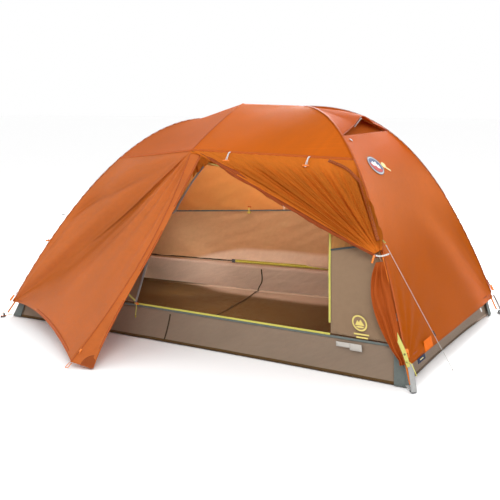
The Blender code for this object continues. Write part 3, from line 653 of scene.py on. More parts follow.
FLY = (0.650, 0.160, 0.018)
BROW = (0.700, 0.155, 0.006)
ORANGE = (0.78, 0.20, 0.012)
LIME = (0.56, 0.53, 0.135)
M = {
    # painted shade: the fly cloth turns a deeper orange-brown in its valleys
    "fly": cloth_material("fly_cloth", FLY, 0.44, 0.0, 0.34, grid=0.0055, vary=0.09,
                          shine=0.36, painted_shading_colour=(0.54, 0.120, 0.003)),
    # painted highlight and shade: paler, pinker bands low on the panel stand in for sheen, a deeper
    # orange at the top for shade near the hood, and a deeper orange-brown low down and in the valleys
    # for shade
    "end": cloth_material("fly_end_painted_shading", FLY, 0.54, 0.0, 0.34, grid=0.0055, shine=0.04,
                          painted_shading_colour=(0.52, 0.105, 0.0),
                          heights=((0.12, (0.72, 0.178, 0.045)), (0.56, (0.68, 0.175, 0.032)),
                                   (0.76, (0.69, 0.178, 0.038)), (0.90, (0.70, 0.135, 0.006)))),
    # painted shade: the hood takes a darker copy of the roof cloth, to hold down the back light's
    # highlight on it
    "hood": cloth_material("fly_hood_painted_shade", (0.60, 0.105, 0.003), 0.62, 0.0, 0.30,
                           grid=0.0055, shine=0.03),
    # painted highlight: the roof's tail half, left of the cross pole, takes a paler, pinker colour for
    # the sky's reflection on it
    "brow": cloth_material("fly_roof_cloth", BROW, 0.50, 0.0, 0.36, grid=0.0055, shine=0.10,
                           heights=((0.488, (0.660, 0.160, 0.030)), (0.500, BROW)),
                           low=-0.5, axis=0),
    # painted shade: a darker copy of the fly cloth for the gathered leaf's rolled edge
    "fold": cloth_material("fly_roll_painted_shade", (0.33, 0.062, 0.011), 0.55, 0.0, 0.12, grid=0.0055),
    # painted shade: a darker copy of the fly cloth, for the tail below the tie; the short straps at
    # the buckles use it too
    "tail": cloth_material("fly_tail_painted_shade", (0.42, 0.078, 0.007), 0.55, 0.0, 0.20, grid=0.0055),
    # painted shade: the gathered leaf turns a deeper orange-brown in the valleys of its folds
    "gather": cloth_material("fly_gathered", (0.80, 0.230, 0.022), 0.55, 0.0, 0.44,
                             grid=0.0055, shine=0.10, painted_shading_colour=(0.40, 0.085, 0.004)),
    "fly_seam": cloth_material("fly_seam", (0.42, 0.080, 0.010), 0.6, 0.05, 0.12,
                               rows=(0.0022, 0.0098), thread=(0.80, 0.26, 0.10)),
    "brow_seam": cloth_material("brow_seam", (0.46, 0.082, 0.004), 0.6, 0.05, 0.12,
                                rows=(0.0022, 0.0098), thread=(0.82, 0.25, 0.06)),
    "patch": cloth_material("reinforcement", (0.30, 0.060, 0.008), 0.6, 0.05, 0.05,
                            grid=0.004, rows=(0.002,), thread=(0.75, 0.24, 0.09)),
    "inner": cloth_material("inner_cloth", (0.33, 0.215, 0.130), 0.62, 0.2, 0.25, grid=0.004,
                            wrinkle=0.004, crinkle=7.0),
    # painted light: a brighter copy of the inner cloth for the far walls, paler again at the rear
    # wall's foot and in the end walls' valleys
    "far": cloth_material("inner_far_painted_light", (0.72, 0.47, 0.26), 0.62, 0.1, 0.58, grid=0.004,
                          painted_shading_colour=(0.90, 0.75, 0.60), wrinkle=0.010, crinkle=6.0),
    "mesh": cloth_material("inner_mesh", (0.74, 0.40, 0.13), 0.8, 0.05, 0.50, see=0.42,
                           pitch=0.0016),
    "vent_mesh": cloth_material("vent_mesh", (0.66, 0.15, 0.012), 0.8, 0.0, 0.40, see=0.0,
                                pitch=0.0016),
    # painted light: the floor's dark cloth turns paler towards the rear
    "floor": cloth_material("floor_cloth", (0.098, 0.050, 0.014), 0.42, 0.0, 0.0, grid=0.005,
                            painted_shading_colour=(0.46, 0.33, 0.25),
                            wrinkle=0.005, crinkle=6.0),
    # painted light: a much paler copy of the tub cloth for the inner face of the tub walls and the
    # rear of the tub binding
    "tub_in": cloth_material("tub_inside_painted_light", (0.86, 0.69, 0.57), 0.40, 0.05, 0.60,
                             grid=0.005, wrinkle=0.016, crinkle=4.0),
    "seam_dark": cloth_material("seam_dark", (0.050, 0.034, 0.018), 0.6, 0.0, 0.0),
    "hem_patch": cloth_material("hem_patch", (0.80, 0.155, 0.004), 0.6, 0.0, 0.1, shine=0.05),
    "navy": cloth_material("label_navy", (0.018, 0.026, 0.060), 0.7, 0.0, 0.0),
    "tub": cloth_material("tub_cloth", (0.300, 0.218, 0.155), 0.45, 0.08, 0.25, grid=0.005,
                          wrinkle=0.004, crinkle=8.0),
    "hem_grey": webbing_material("hem_grey", (0.115, 0.135, 0.125)),
    "badge_dark": cloth_material("badge_dark", (0.06, 0.07, 0.09), 0.5, 0.0, 0.0),
    "badge_silver": cloth_material("badge_silver", (0.42, 0.45, 0.47), 0.4, 0.0, 0.0),
    "teal": cloth_material("seam_tape_dark", (0.045, 0.060, 0.062), 0.6, 0.15,
                           rows=(0.0015,), thread=(0.16, 0.17, 0.17)),
    "grey_tape": cloth_material("binding_grey", (0.30, 0.30, 0.29), 0.7, 0.15,
                                rows=(0.003,), thread=(0.5, 0.5, 0.5)),
    "lime_tape": webbing_material("zip_tape", LIME),
    "olive_tape": webbing_material("zip_tape_olive", (0.34, 0.27, 0.028)),
    "webbing": webbing_material("webbing", (0.36, 0.36, 0.35)),
    "orange_web": webbing_material("webbing_orange", ORANGE),
    "orange": plastic_material("orange_plastic", ORANGE),
    "black": plastic_material("hub_plastic", (0.022, 0.022, 0.024), 0.42),
    "white": plastic_material("strut_plastic", (0.72, 0.72, 0.71), 0.35),
    "elastic": webbing_material("white_elastic", (0.74, 0.74, 0.72), 0.0012),
    "pole": metal_material("pole_metal", (0.62, 0.17, 0.03)),
    "ferrule": metal_material("ferrule_metal", (0.55, 0.55, 0.56)),
    "teeth": plastic_material("zip_teeth", (0.60, 0.55, 0.09), 0.5),
    "cord": cord_material("cord", (0.40, 0.40, 0.38), (0.62, 0.62, 0.58)),
    "lime_cord": cord_material("cord_lime", (0.60, 0.55, 0.06), (0.72, 0.70, 0.30)),
    "badge_blue": plastic_material("badge_blue", (0.030, 0.055, 0.16), 0.6, 0.0),
    "badge_red": plastic_material("badge_red", (0.45, 0.03, 0.03), 0.6, 0.0),
    "badge_white": plastic_material("badge_white", (0.78, 0.78, 0.76), 0.6, 0.0),
    "print_yellow": plastic_material("print_yellow", (0.60, 0.48, 0.13), 0.6, 0.0),
    "print_pale": plastic_material("print_pale", (0.78, 0.66, 0.30), 0.7, 0.0),
    "label_grey": plastic_material("label_grey", (0.42, 0.39, 0.35), 0.7, 0.0),
}


# ---------------------------------------------------------------- building pieces
CLOTH_THICKNESS = 0.0006
VALLEY_DEPTH = 0.045      # a valley of this depth gets the full painted shade in its colour


def link(name, data, material):
    obj = bpy.data.objects.new(name, data)
    bpy.context.scene.collection.objects.link(obj)
    data.materials.append(M[material])
    return obj


def dress(obj, body="tent", replaces=()):
    """Parent it to the empty of the CAD body it rides on, and hide the CAD nodes it stands for."""
    if body is not None:
        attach(obj, body)
    if replaces:
        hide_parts(*replaces)
    return obj


def smooth(data):
    data.polygons.foreach_set("use_smooth", [True] * len(data.polygons))


def arc(points):
    total = [0.0]
    for a, b in zip(points, points[1:]):
        total.append(total[-1] + (b - a).length)
    return total


def length_of(curve, steps=40):
    return arc([curve(i / steps) for i in range(steps + 1)])[-1]


def grid_points(surface, columns, rows, u_range=(0, 1), v_range=(0, 1)):
    out = []
    for j in range(rows + 1):
        v = v_range[0] + (v_range[1] - v_range[0]) * j / rows
        out.append([Vector(surface(u_range[0] + (u_range[1] - u_range[0]) * i / columns, v))
                    for i in range(columns + 1)])
    return out


def grid_normals(points):
    rows, columns = len(points) - 1, len(points[0]) - 1
    out = []
    for j in range(rows + 1):
        row = []
        for i in range(columns + 1):
            du = points[j][min(i + 1, columns)] - points[j][max(i - 1, 0)]
            dv = points[min(j + 1, rows)][i] - points[max(j - 1, 0)][i]
            n = du.cross(dv)
            row.append(n.normalized() if n.length > 1e-12 else Vector((0, 0, 1)))
        out.append(row)
    return out


def uv_mesh(name, verts, faces, uvs):
    """Mesh with its UVs in metres, one pair for each corner of each face."""
    data = bpy.data.meshes.new(name)
    data.from_pydata(verts, [], faces)
    layer = data.uv_layers.new(name="metres")
    layer.data.foreach_set("uv", [x for uv in uvs for x in uv])
    return data


def grid_mesh(name, points):
    """Smooth mesh of a grid of points, with its widest row and its middle column's length."""
    rows, columns = len(points) - 1, len(points[0]) - 1
    across = [arc(row) for row in points]
    along = arc([row[columns // 2] for row in points])
    faces, uvs = [], []
    for j in range(rows):
        for i in range(columns):
            a = j * (columns + 1) + i
            faces.append((a, a + 1, a + columns + 2, a + columns + 1))
            uvs.extend([(across[j][i], along[j]), (across[j][i + 1], along[j]),
                        (across[j + 1][i + 1], along[j + 1]), (across[j + 1][i], along[j + 1])])
    data = uv_mesh(name, [p for row in points for p in row], faces, uvs)
    smooth(data)
    return data, max(a[-1] for a in across), along[-1]


def thicken(obj, thickness, offset=0.0):
    """Give a flat piece its thickness, half to each side, or all on one side at offset -1."""
    made = obj.modifiers.new("thickness", "SOLIDIFY")
    made.thickness = thickness
    made.offset = offset
    return made


def flat_piece(name, points, material, thickness, body="tent", replaces=(),
               offset=-1.0):
    """Thin piece on a grid of points."""
    obj = link(name, grid_mesh(name, points)[0], material)
    thicken(obj, thickness, offset)
    return dress(obj, body, replaces)


def store_painted_shading(data, values):
    """Keep 0..1 per vertex: how far the cloth's colour is blended to its painted light and shade
    there.
    """
    data.attributes.new("painted_shading", "FLOAT", "POINT").data.foreach_set("value", values)


def cloth(name, surface, columns, rows, material, relief=None, u_range=(0.0, 1.0),
          v_range=(0.0, 1.0), body="tent", replaces=(),
          out=1, painted_shading=None):
    """A sheet of cloth laid on a surface of (u, v), pushed out by relief(u, v, place).

    Its stored share of painted light and shade comes from the given function of (v, place), or else
    from the depth of its valleys, for painted shade in them.
    """
    points = grid_points(surface, columns, rows, u_range, v_range)
    painted_shadings = [0.0] * ((rows + 1) * (columns + 1))
    if relief is not None:
        normals = grid_normals(points)
        for j, row in enumerate(points):
            for i, p in enumerate(row):
                u = u_range[0] + (u_range[1] - u_range[0]) * i / columns
                v = v_range[0] + (v_range[1] - v_range[0]) * j / rows
                push = relief(u, v, p)
                painted_shadings[j * (columns + 1) + i] = painted_shading(v, p) if painted_shading else min(
                    max(-push / VALLEY_DEPTH, 0.0), 1.0)
                row[i] = p + normals[j][i] * (push * out)
    data, wide, tall = grid_mesh(name, points)
    store_painted_shading(data, painted_shadings)
    area = sum(p.area for p in data.polygons)
    obj = link(name, data, material)
    thicken(obj, CLOTH_THICKNESS)
    dress(obj, body, replaces)
    wide = max(wide, area / tall)
    return obj


def ribbon(name, path, across, width, material, height=0.0009, steps=60, body="tent",
           replaces=(), lift=0.0, puckered=0.0):
    """Flat strip along path(t), spread to each side along across, a vector or across(t)."""
    rows, edges = [], 4
    for j in range(steps + 1):
        t = j / steps
        p = Vector(path(t))
        side = Vector(across(t) if callable(across) else across).normalized()
        ahead = Vector(path(min(t + 0.002, 1.0))) - Vector(path(max(t - 0.002, 0.0)))
        up = side.cross(ahead).normalized()
        row = []
        for i in range(edges + 1):
            x = (i / edges - 0.5) * width
            pucker = puckered * math.sin(j * 2.1 + i * 0.8)
            row.append(p + side * x + up * (lift + pucker))
        rows.append(row)
    return flat_piece(name, rows, material, height, body, replaces, 0.0)


def sweep(name, points, radius, material, sides=12, body="tent", replaces=(),
          twist=0.0, up=(0, 0, 1)):
    """Closed tube along points; radius may be a function of (share along, angle)."""
    points = [Vector(p) for p in points]
    lengths, last = arc(points), len(points) - 1
    verts, faces, uvs = [], [], []
    normal = Vector(up)
    for k, p in enumerate(points):
        ahead = (points[min(k + 1, last)] - points[max(k - 1, 0)]).normalized()
        if k == 0 and abs(normal.dot(ahead)) > 0.95:
            normal = Vector((1, 0, 0))
        normal = (normal - ahead * normal.dot(ahead)).normalized()
        side = ahead.cross(normal)
        for i in range(sides):
            angle = 2 * math.pi * i / sides + twist * lengths[k]
            r = radius(k / last, angle) if callable(radius) else radius
            verts.append(p + normal * (math.cos(angle) * r) + side * (math.sin(angle) * r))
    for j in range(last):
        for i in range(sides):
            a, b = j * sides + i, j * sides + (i + 1) % sides
            faces.append((a, b, b + sides, a + sides))
            uvs.extend([(i / sides, lengths[j]), ((i + 1) / sides, lengths[j]),
                        ((i + 1) / sides, lengths[j + 1]), (i / sides, lengths[j + 1])])
    for start, order in ((0, -1), (last * sides, 1)):
        faces.append(tuple(range(start, start + sides))[::order])
        uvs.extend([(0.5 + 0.1 * math.cos(i), lengths[-1] if start else 0)
                    for i in range(sides)])
    data = uv_mesh(name, verts, faces, uvs)
    smooth(data)
    return dress(link(name, data, material), body, replaces)


def frame_at(place, x_axis, z_axis):
    """Placement with its x along x_axis and z near z_axis."""
    x = Vector(x_axis).normalized()
    z = Vector(z_axis)
    z = (z - x * z.dot(x)).normalized()
    y = z.cross(x)
    return Matrix.Translation(place) @ Matrix((x, y, z)).transposed().to_4x4()


def aimed(place, way):
    """Placement with its z along way."""
    return Matrix.Translation(place) @ way.to_track_quat("Z", "Y").to_matrix().to_4x4()


def solid(name, parts, material, placement, body="tent", replaces=(),
          bevel=0.0008):
    """Boxes, rods and rings in local axes, set down by one placement.

    Each part is (kind, centre, sizes, direction).
    """
    bm = bmesh.new()
    for kind, centre, sizes, direction in parts:
        made = bmesh.new()
        if kind == "box":
            bmesh.ops.create_cube(made, size=1.0)
            for v in made.verts:
                v.co = Vector((v.co.x * sizes[0], v.co.y * sizes[1], v.co.z * sizes[2]))
            if bevel > 0:
                bmesh.ops.bevel(made, geom=list(made.edges), offset=min(bevel, min(sizes) * 0.3),
                                segments=2, affect="EDGES")
        elif kind == "rod":
            bmesh.ops.create_cone(made, cap_ends=True, segments=20, radius1=sizes[0],
                                  radius2=sizes[1], depth=sizes[2])
            bmesh.ops.bevel(made, geom=[e for e in made.edges if len(e.link_faces) == 2 and
                                        e.calc_face_angle(0) > 1.0],
                            offset=min(sizes[0], sizes[1]) * 0.18, segments=2, affect="EDGES")
        elif kind == "ring":
            ring_mesh(made, sizes[0], sizes[1], sizes[2] if len(sizes) > 2 else 1.0)
        spin = Vector(direction).to_track_quat("Z", "Y") if direction else Quaternion()
        for v in made.verts:
            v.co = spin @ v.co + Vector(centre)
        mesh = bpy.data.meshes.new("part")
        made.to_mesh(mesh)
        made.free()
        bm.from_mesh(mesh)
        bpy.data.meshes.remove(mesh)
    for v in bm.verts:
        v.co = placement @ v.co
    layer = bm.loops.layers.uv.new("metres")
    inverse = placement.inverted()
    for face in bm.faces:
        n = inverse.to_3x3() @ face.normal
        for loop in face.loops:
            p = inverse @ loop.vert.co
            if abs(n.z) > 0.6:
                loop[layer].uv = (p.x, p.y)
            elif abs(n.y) > 0.6:
                loop[layer].uv = (p.x, p.z)
            else:
                loop[layer].uv = (p.y, p.z)
    data = bpy.data.meshes.new(name)
    bm.to_mesh(data)
    bm.free()
    return dress(link(name, data, material), body, replaces)


def ring_mesh(made, radius, thick, oval):
    """Closed ring about z, oval along x."""
    turns, sides = 28, 8
    grid = []
    for i in range(turns):
        a = 2 * math.pi * i / turns
        centre = Vector((math.cos(a) * radius * oval, math.sin(a) * radius, 0))
        outwards = Vector((math.cos(a), math.sin(a), 0))
        row = []
        for k in range(sides):
            b = 2 * math.pi * k / sides
            row.append(made.verts.new(centre + outwards * math.cos(b) * thick +
                                      Vector((0, 0, math.sin(b) * thick))))
        grid.append(row)
    for i in range(turns):
        for k in range(sides):
            made.faces.new((grid[i][k], grid[(i + 1) % turns][k],
                            grid[(i + 1) % turns][(k + 1) % sides], grid[i][(k + 1) % sides]))


def zip_run(name, path, facing, length=None, material="teeth", tape="lime_tape", width=0.020,
            replaces=(), pitch=0.0030):
    """Zip tape with its coil of teeth, along path(t) and turned to face one way."""
    facing = Vector(facing)
    length = length or length_of(path)

    def ahead(t, step):
        return Vector(path(min(t + step, 1))) - Vector(path(max(t - step, 0)))

    def across(t):
        return ahead(t, 0.004).cross(facing)
    ribbon(f"{name}_tape", path, across, width, tape, 0.0008, max(int(length / 0.012), 12),
           replaces=replaces)
    count = int(length / pitch)
    verts, faces, uvs = [], [], []
    for k in range(count):
        t = (k + 0.5) / count
        p = Vector(path(t))
        side, way = across(t).normalized(), ahead(t, 0.003).normalized()
        up = side.cross(way).normalized()
        if up.dot(facing) < 0:
            up = -up
        shift = 0.0008 if k % 2 else -0.0008
        base = len(verts)
        for half, share, rise in ((0.0024, 0.34, 0.0), (0.0018, 0.28, 0.0019)):
            for dx, dy in ((-1, -1), (1, -1), (1, 1), (-1, 1)):
                verts.append(p + side * (dx * half + shift) + way * (dy * pitch * share)
                             + up * rise)
        for quad in ((4, 5, 6, 7), (0, 1, 5, 4), (1, 2, 6, 5), (2, 3, 7, 6), (3, 0, 4, 7),
                     (3, 2, 1, 0)):
            faces.append(tuple(base + q for q in quad))
            uvs.extend([(0.001 * q, t * length) for q in range(4)])
    data = uv_mesh(f"{name}_teeth", verts, faces, uvs)
    dress(link(f"{name}_teeth", data, material), "tent")


def ease(t):
    t = min(max(t, 0.0), 1.0)
    return t * t * (3 - 2 * t)


def bell(x, width):
    """Hump of height 1 at x = 0 that falls away over width."""
    return math.exp(-(x / width) ** 2)


# ---------------------------------------------------------------- fly
def along_leg(end, side, low, high, depth=0.0):
    return lambda t: leg_line(end, side, low + (high - low) * t, depth)


def roof_relief(u, v, p):
    """Hollows between the poles, puckers along the seams, slack near the brow."""
    a, b = abs(u - 0.5) * 2, abs(v - 0.5) * 2
    hollow = -0.013 * (4 * a * (1 - a)) * (4 * b * (1 - b)) ** 0.8
    ridge = 0.0022 * (bell(b, 0.035) + bell(a, 0.030))
    ridge *= ease((1 - a) * 12) if b < 0.05 else 1.0
    edge = min(a if a > 0 else 1, 1 - a, 1 - b)
    pucker = bell(min(1 - a, 1 - b), 0.05) * 0.0016 * math.sin(
        (p.x + p.y * 1.3) * 150 + 3 * noise.noise(p * 9))
    fold = 0.0035 * noise.noise(Vector((p.x * 3.1 + p.y * 4.5, p.y * 2.0 - p.x * 2.0, 1.7)))
    return hollow + ridge + (pucker + fold) * ease(edge * 14)


def panel_relief(seed, depth=0.010):
    """Shallow catenary hollow with tension lines from the lower corners."""
    def relief(u, v, p):
        hollow = -depth * 4 * u * (1 - u) * 4 * v * (1 - v)
        fan = 0.0
        for cu in (0.0, 1.0):
            du, dv = abs(u - cu), v
            angle = math.atan2(dv, du + 1e-6)
            reach = math.hypot(du, dv)
            fan += 0.0040 * math.sin(angle * 17 + seed) * bell(reach, 0.35) * ease(
                reach * 14)
        side = min(u, 1 - u)
        pucker = 0.0016 * math.sin(v * 165 + 4 * noise.noise(p * 6)) * bell(side, 0.03)
        soft = 0.0045 * noise.noise(Vector((p.y * 2.2, p.x * 2.2, p.z * 1.6 + seed)))
        return (hollow + fan + soft) * ease(side * 22) + pucker
    return relief


def hem_band(name, surface, v_low, v_high, u_range=(0.0, 1.0), body="tent", steps=80,
             lift=0.0011):
    """Double fold of cloth along a panel's free edge, with its two rows of stitching."""
    points = []
    for j in range(steps + 1):
        u = u_range[0] + (u_range[1] - u_range[0]) * j / steps
        points.append([Vector(surface(u, v_low + (v_high - v_low) * i / 3)) for i in range(4)])
    normals = grid_normals(points)
    for j, row in enumerate(points):
        for i, p in enumerate(row):
            row[i] = p + normals[j][i] * lift
    return flat_piece(name, points, "fly_seam", 0.0011, body, offset=0.0)


def make_roof():
    surface = roof_surface(0.0)
    cloth("fly_roof_sheet", surface, 110, 96, "brow", roof_relief,
          replaces=("fly_roof",))
    # seam over the cross pole, down each head or foot leg, and along each brow
    ribbon("seam_cross", lambda t: surface(0.5, t), (1, 0, 0), 0.009, "brow_seam", 0.0010, 90,
           lift=0.0022, puckered=0.0003)
    for end, side, name in corners():
        split = BROW_SPLIT[end]
        upper = along_leg(end, side, 0.02, split, -0.0022)
        way = foot(end, side) - HUB[end]
        flat = Vector((-way.y, way.x, 0))
        ribbon(f"seam_brow_leg_{name}", upper, flat, 0.009, "brow_seam", 0.0010, 50,
               puckered=0.0002)
        lower = along_leg(end, side, split, HEM_S, -0.0022)
        ribbon(f"seam_leg_{name}", lower, flat, 0.009, "fly_seam", 0.0010, 70,
               puckered=0.0002)
        brow = line(brow_corner(end, side), brow_end(side))
        out = Vector((0, side, 0.7)).normalized()
        run = (brow_end(side) - brow_corner(end, side)).normalized()
        ribbon(f"seam_brow_{name}", lambda t, b=brow, o=out: b(t) + o * 0.0016,
               run.cross(out), 0.012, "brow_seam", 0.0012, 50,
               puckered=0.0003)


END_DROP = 0.018                          # share by which the head panel's hem hangs lower


def make_ends():
    panel = end_surface(HEAD, VENT_S + 0.004, bow=0.016)

    def head(u, v):
        return panel(u, v - END_DROP * (1 - v))

    def low_painted_shade(v, p):
        """Painted shade: low down the panel turns a deeper orange-brown, but for a painted highlight,
        a paler ridge to its rear corner.
        """
        ridge = bell(p.y - 0.52 + 0.84 * v, 0.11)
        return ease((0.54 - v) / 0.30) * (1 - 0.95 * ridge)
    cloth("fly_end_right_sheet", head, 84, 96, "end", panel_relief(0.4), painted_shading=low_painted_shade,
          replaces=("fly_end_right",))
    tail = end_surface(TAIL, 0.03, bow=0.016)
    cloth("fly_end_left_sheet", tail, 80, 96, "fly", panel_relief(2.4), out=-1,
          replaces=("fly_end_left",))
    hem_band("hem_end_right", head, 0.0, 0.020, lift=0.0012)
    hem_band("hem_end_left", tail, 0.0, 0.018, lift=-0.0012)
    hem_band("vent_sill", head, 0.984, 1.0, lift=0.0012)


def make_vent():
    hood = hood_surface()

    def relief(u, v, p):
        crown = 0.003 * math.sin(math.pi * u) * math.sin(math.pi * v)
        ray = 0.0006 * math.sin(u * 40) * v * (1 - v) * 3
        return crown + ray
    cloth("vent_hood_sheet", hood, 60, 40, "hood", relief, v_range=(0.02, 1.0), out=-1,
          replaces=("vent_hood",))
    rim = [hood(i / 60, 1.0) for i in range(61)]
    sweep("vent_rim", [p + Vector((0, 0, -0.0005)) for p in rim], 0.0022, "brow_seam", 10)

    def screen(u, v):
        s = VENT_S + 0.002 - (VENT_S - 0.06) * v
        a, b = leg_line(HEAD, FRONT, s, 0.016), leg_line(HEAD, REAR, s, 0.016)
        return a.lerp(b, 0.02 + 0.96 * u)
    cloth("vent_mesh_sheet", screen, 24, 20, "vent_mesh", None)
    top = VENT_APEX + Vector((-0.006, 0.0, -0.008))
    low = top + Vector((-0.038, -0.004, -0.052))
    length = (low - top).length
    solid("vent_strut_bar", [
        ("box", (0, 0, 0), (0.0138, 0.0026, length * 0.90), None),
        ("box", (0.0045, 0.0016, 0), (0.0016, 0.0010, length * 0.84), None),
        ("box", (-0.0045, 0.0016, 0), (0.0016, 0.0010, length * 0.84), None),
        ("rod", (0, 0, length * 0.44), (0.0034, 0.0034, 0.0135), (1, 0, 0)),
        ("rod", (0, 0, -length * 0.44), (0.0034, 0.0034, 0.0135), (1, 0, 0))],
        "white", aimed((top + low) / 2, low - top), "vent_strut",
        ("vent_strut",))
    # pull tab below the strut's foot
    sill = head_point(0.435, 0.1043, 0.004)
    tab = frame_at(sill, (0, 1, -0.25), head_normal(0.435))
    solid("vent_tab", [("box", (0, 0, 0), (0.024, 0.011, 0.0012), None)], "elastic", tab,
          bevel=0.0003)


def head_point(s, u, off=0.0):
    """Place on the head end panel at leg parameter s and share u from front to rear."""
    p = leg_skin(HEAD, FRONT, s).lerp(leg_skin(HEAD, REAR, s), u)
    v = (HEM_S - s) / (HEM_S - VENT_S)
    p.x -= 0.016 * 4 * u * (1 - u) * math.sin(math.pi * min(max(v, 0), 1))
    return p + head_normal(s) * off


def head_normal(s):
    a, b = leg_skin(HEAD, FRONT, s - 0.01), leg_skin(HEAD, FRONT, s + 0.01)
    t = (b - a)
    return Vector((-t.z, 0, t.x)).normalized()


def seamed_side(end, side):
    """Gusset and leaf of one vestibule side as a single surface: u from the leg to the zip."""
    low, tip = hem_corner(end, side), brow_end(side)
    brow, split = brow_corner(end, side), BROW_SPLIT[end]
    fold, seam = line(low, tip), door_seam(side)

    def leg(t):
        return leg_skin(end, side, HEM_S + (split - HEM_S) * t)
    gusset = coons(lambda t: low.copy(), line(brow, tip), leg, fold)
    sag = Vector((end * 0.010, -side * 0.035, 0.050))
    leaf = coons(bowed(line(low, stake_point(side)), sag), lambda t: tip.copy(), fold, seam)
    hollow = Vector((0, -side * 0.018, -0.006))
    share = 0.42

    def at(u, v):
        if u < share:
            return gusset(u / share, v)
        w = (u - share) / (1 - share)
        return leaf(w, v) + hollow * (4 * w * (1 - w) * math.sin(math.pi * v))
    return at, share


def make_side(end, side, name):
    surface, share = seamed_side(end, side)
    tip, low = brow_end(side), hem_corner(end, side)
    sign = side * end

    def relief(u, v, p):
        w = (u - share) / (1 - share)
        edge = ease(min(u, 1 - u) * 18) * ease((1 - v) * 10)
        long_way = math.sin(math.pi * min(v, 1)) ** 0.8
        spread = 0.125 if u < share else 0.175
        crease = -0.052 * bell(u - share, spread) * long_way
        crease += 0.006 * bell(u - share + 0.22, 0.07) * long_way
        if u < share:
            across = v - (0.56 + 0.44 * u / share)
            crease -= 0.026 * bell(across, 0.075) * ease(1 - 0.5 * u / share)
        crease += 0.012 * bell(u - 0.72, 0.10) * long_way
        d = (p - tip).length
        angle = math.atan2(p.z - tip.z, (p.x - tip.x) * end)
        rays = 0.0050 * math.sin(angle * 30 + 1.3) * bell(d, 0.45) * ease(d * 9)
        d2 = (p - low).length
        angle2 = math.atan2(p.z - low.z, math.hypot(p.x - low.x, p.y - low.y) + 1e-6)
        rays += 0.0040 * math.sin(angle2 * 15) * bell(d2, 0.35) * ease(d2 * 9)
        q = Vector((u * 2.0, v * 3.5, side + end * 0.5))
        soft = 0.012 * noise.noise(q) * (1 if w > 0 else 0.6)
        fold_line = 0.0045 * math.sin(u * 46 + 1.5 * math.sin(v * 3)) * ease(v * 1.8) * ease(
            (1 - v) * 4)
        return (crease + rays + soft + fold_line) * edge * 0.9
    node_side, node_leaf = f"fly_side_{name}", f"vestibule_leaf_{name}"
    obj = cloth(f"vestibule_{name}_sheet", surface, 110, 90, "fly", relief, u_range=(0.0, 0.997),
                v_range=(0.0, 0.997), body=None,
                replaces=(node_side, node_leaf), out=sign)
    run = (tip - low).normalized()
    aside = stake_point(side) - low
    aside = (aside - run * aside.dot(run)).normalized()
    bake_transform(obj)
    return surface, share


def make_sides():
    for end, side, name in corners():
        if (end, side) == (HEAD, FRONT):
            continue
        surface, share = make_side(end, side, name)
        hem_band(f"hem_leaf_{name}", surface, 0.0, 0.014, u_range=(share + 0.030, 0.992),
                 body=f"leaf_{name}", lift=0.0012 * side * end, steps=90)


def make_flap():
    """Storm flap along the front leaf's zip edge, with a quarter-round patch at the corner."""
    seam = door_seam(FRONT)
    across = Vector((0.90, 0.30, -0.06)).normalized()

    def width(v):
        return FLAP_WIDTH + (FLAP_BOTTOM_WIDTH - FLAP_WIDTH) * (1 - v) ** 5 + 0.034 * v ** 6

    def flap(u, v):
        point = seam(v) + across * (width(v) * u - 0.002) + Vector((0.0, -0.0035, 0.0))
        point.z = max(point.z - 0.020 * u * (1 - v) ** 6, 0.004)
        return point

    def relief(u, v, p):
        curl = 0.005 * math.sin(v * 19 + 1) * u * ease((1 - v) * 6)
        small = 0.0022 * math.sin(v * 64 + 5 * noise.noise(p * 5)) * u
        return (curl + small) * ease(v * 12 + 0.2)
    cloth("storm_flap_sheet", flap, 18, 130, "fly", relief, v_range=(0.0, 0.985),
          body="leaf_front_left", replaces=("storm_flap",))

    def edge(u, v):
        return flap(1.0 - 0.010 * v / max(width(u), 0.01), u)
    hem_band("storm_flap_edge", edge, 0.0, 1.0, u_range=(0.0, 0.98), body="leaf_front_left",
             lift=-0.0014, steps=140)
    ribbon("storm_flap_seam", lambda t: flap(0.03, t * 0.98) + Vector((0, -0.0020, 0)),
           across, 0.006, "fly_seam", 0.0009, 130, "leaf_front_left")

    def patch(u, v):
        a = math.radians(2 + 86 * u)
        r = 0.003 + 0.052 * v
        t = r * math.sin(a) / 1.05
        share = max(1 - r * math.cos(a) / width(t), 0.02)
        return flap(share, t) + Vector((0, -0.0065, 0.0004))
    flat_piece("storm_flap_patch", grid_points(patch, 24, 10), "patch", 0.0010,
               "leaf_front_left")


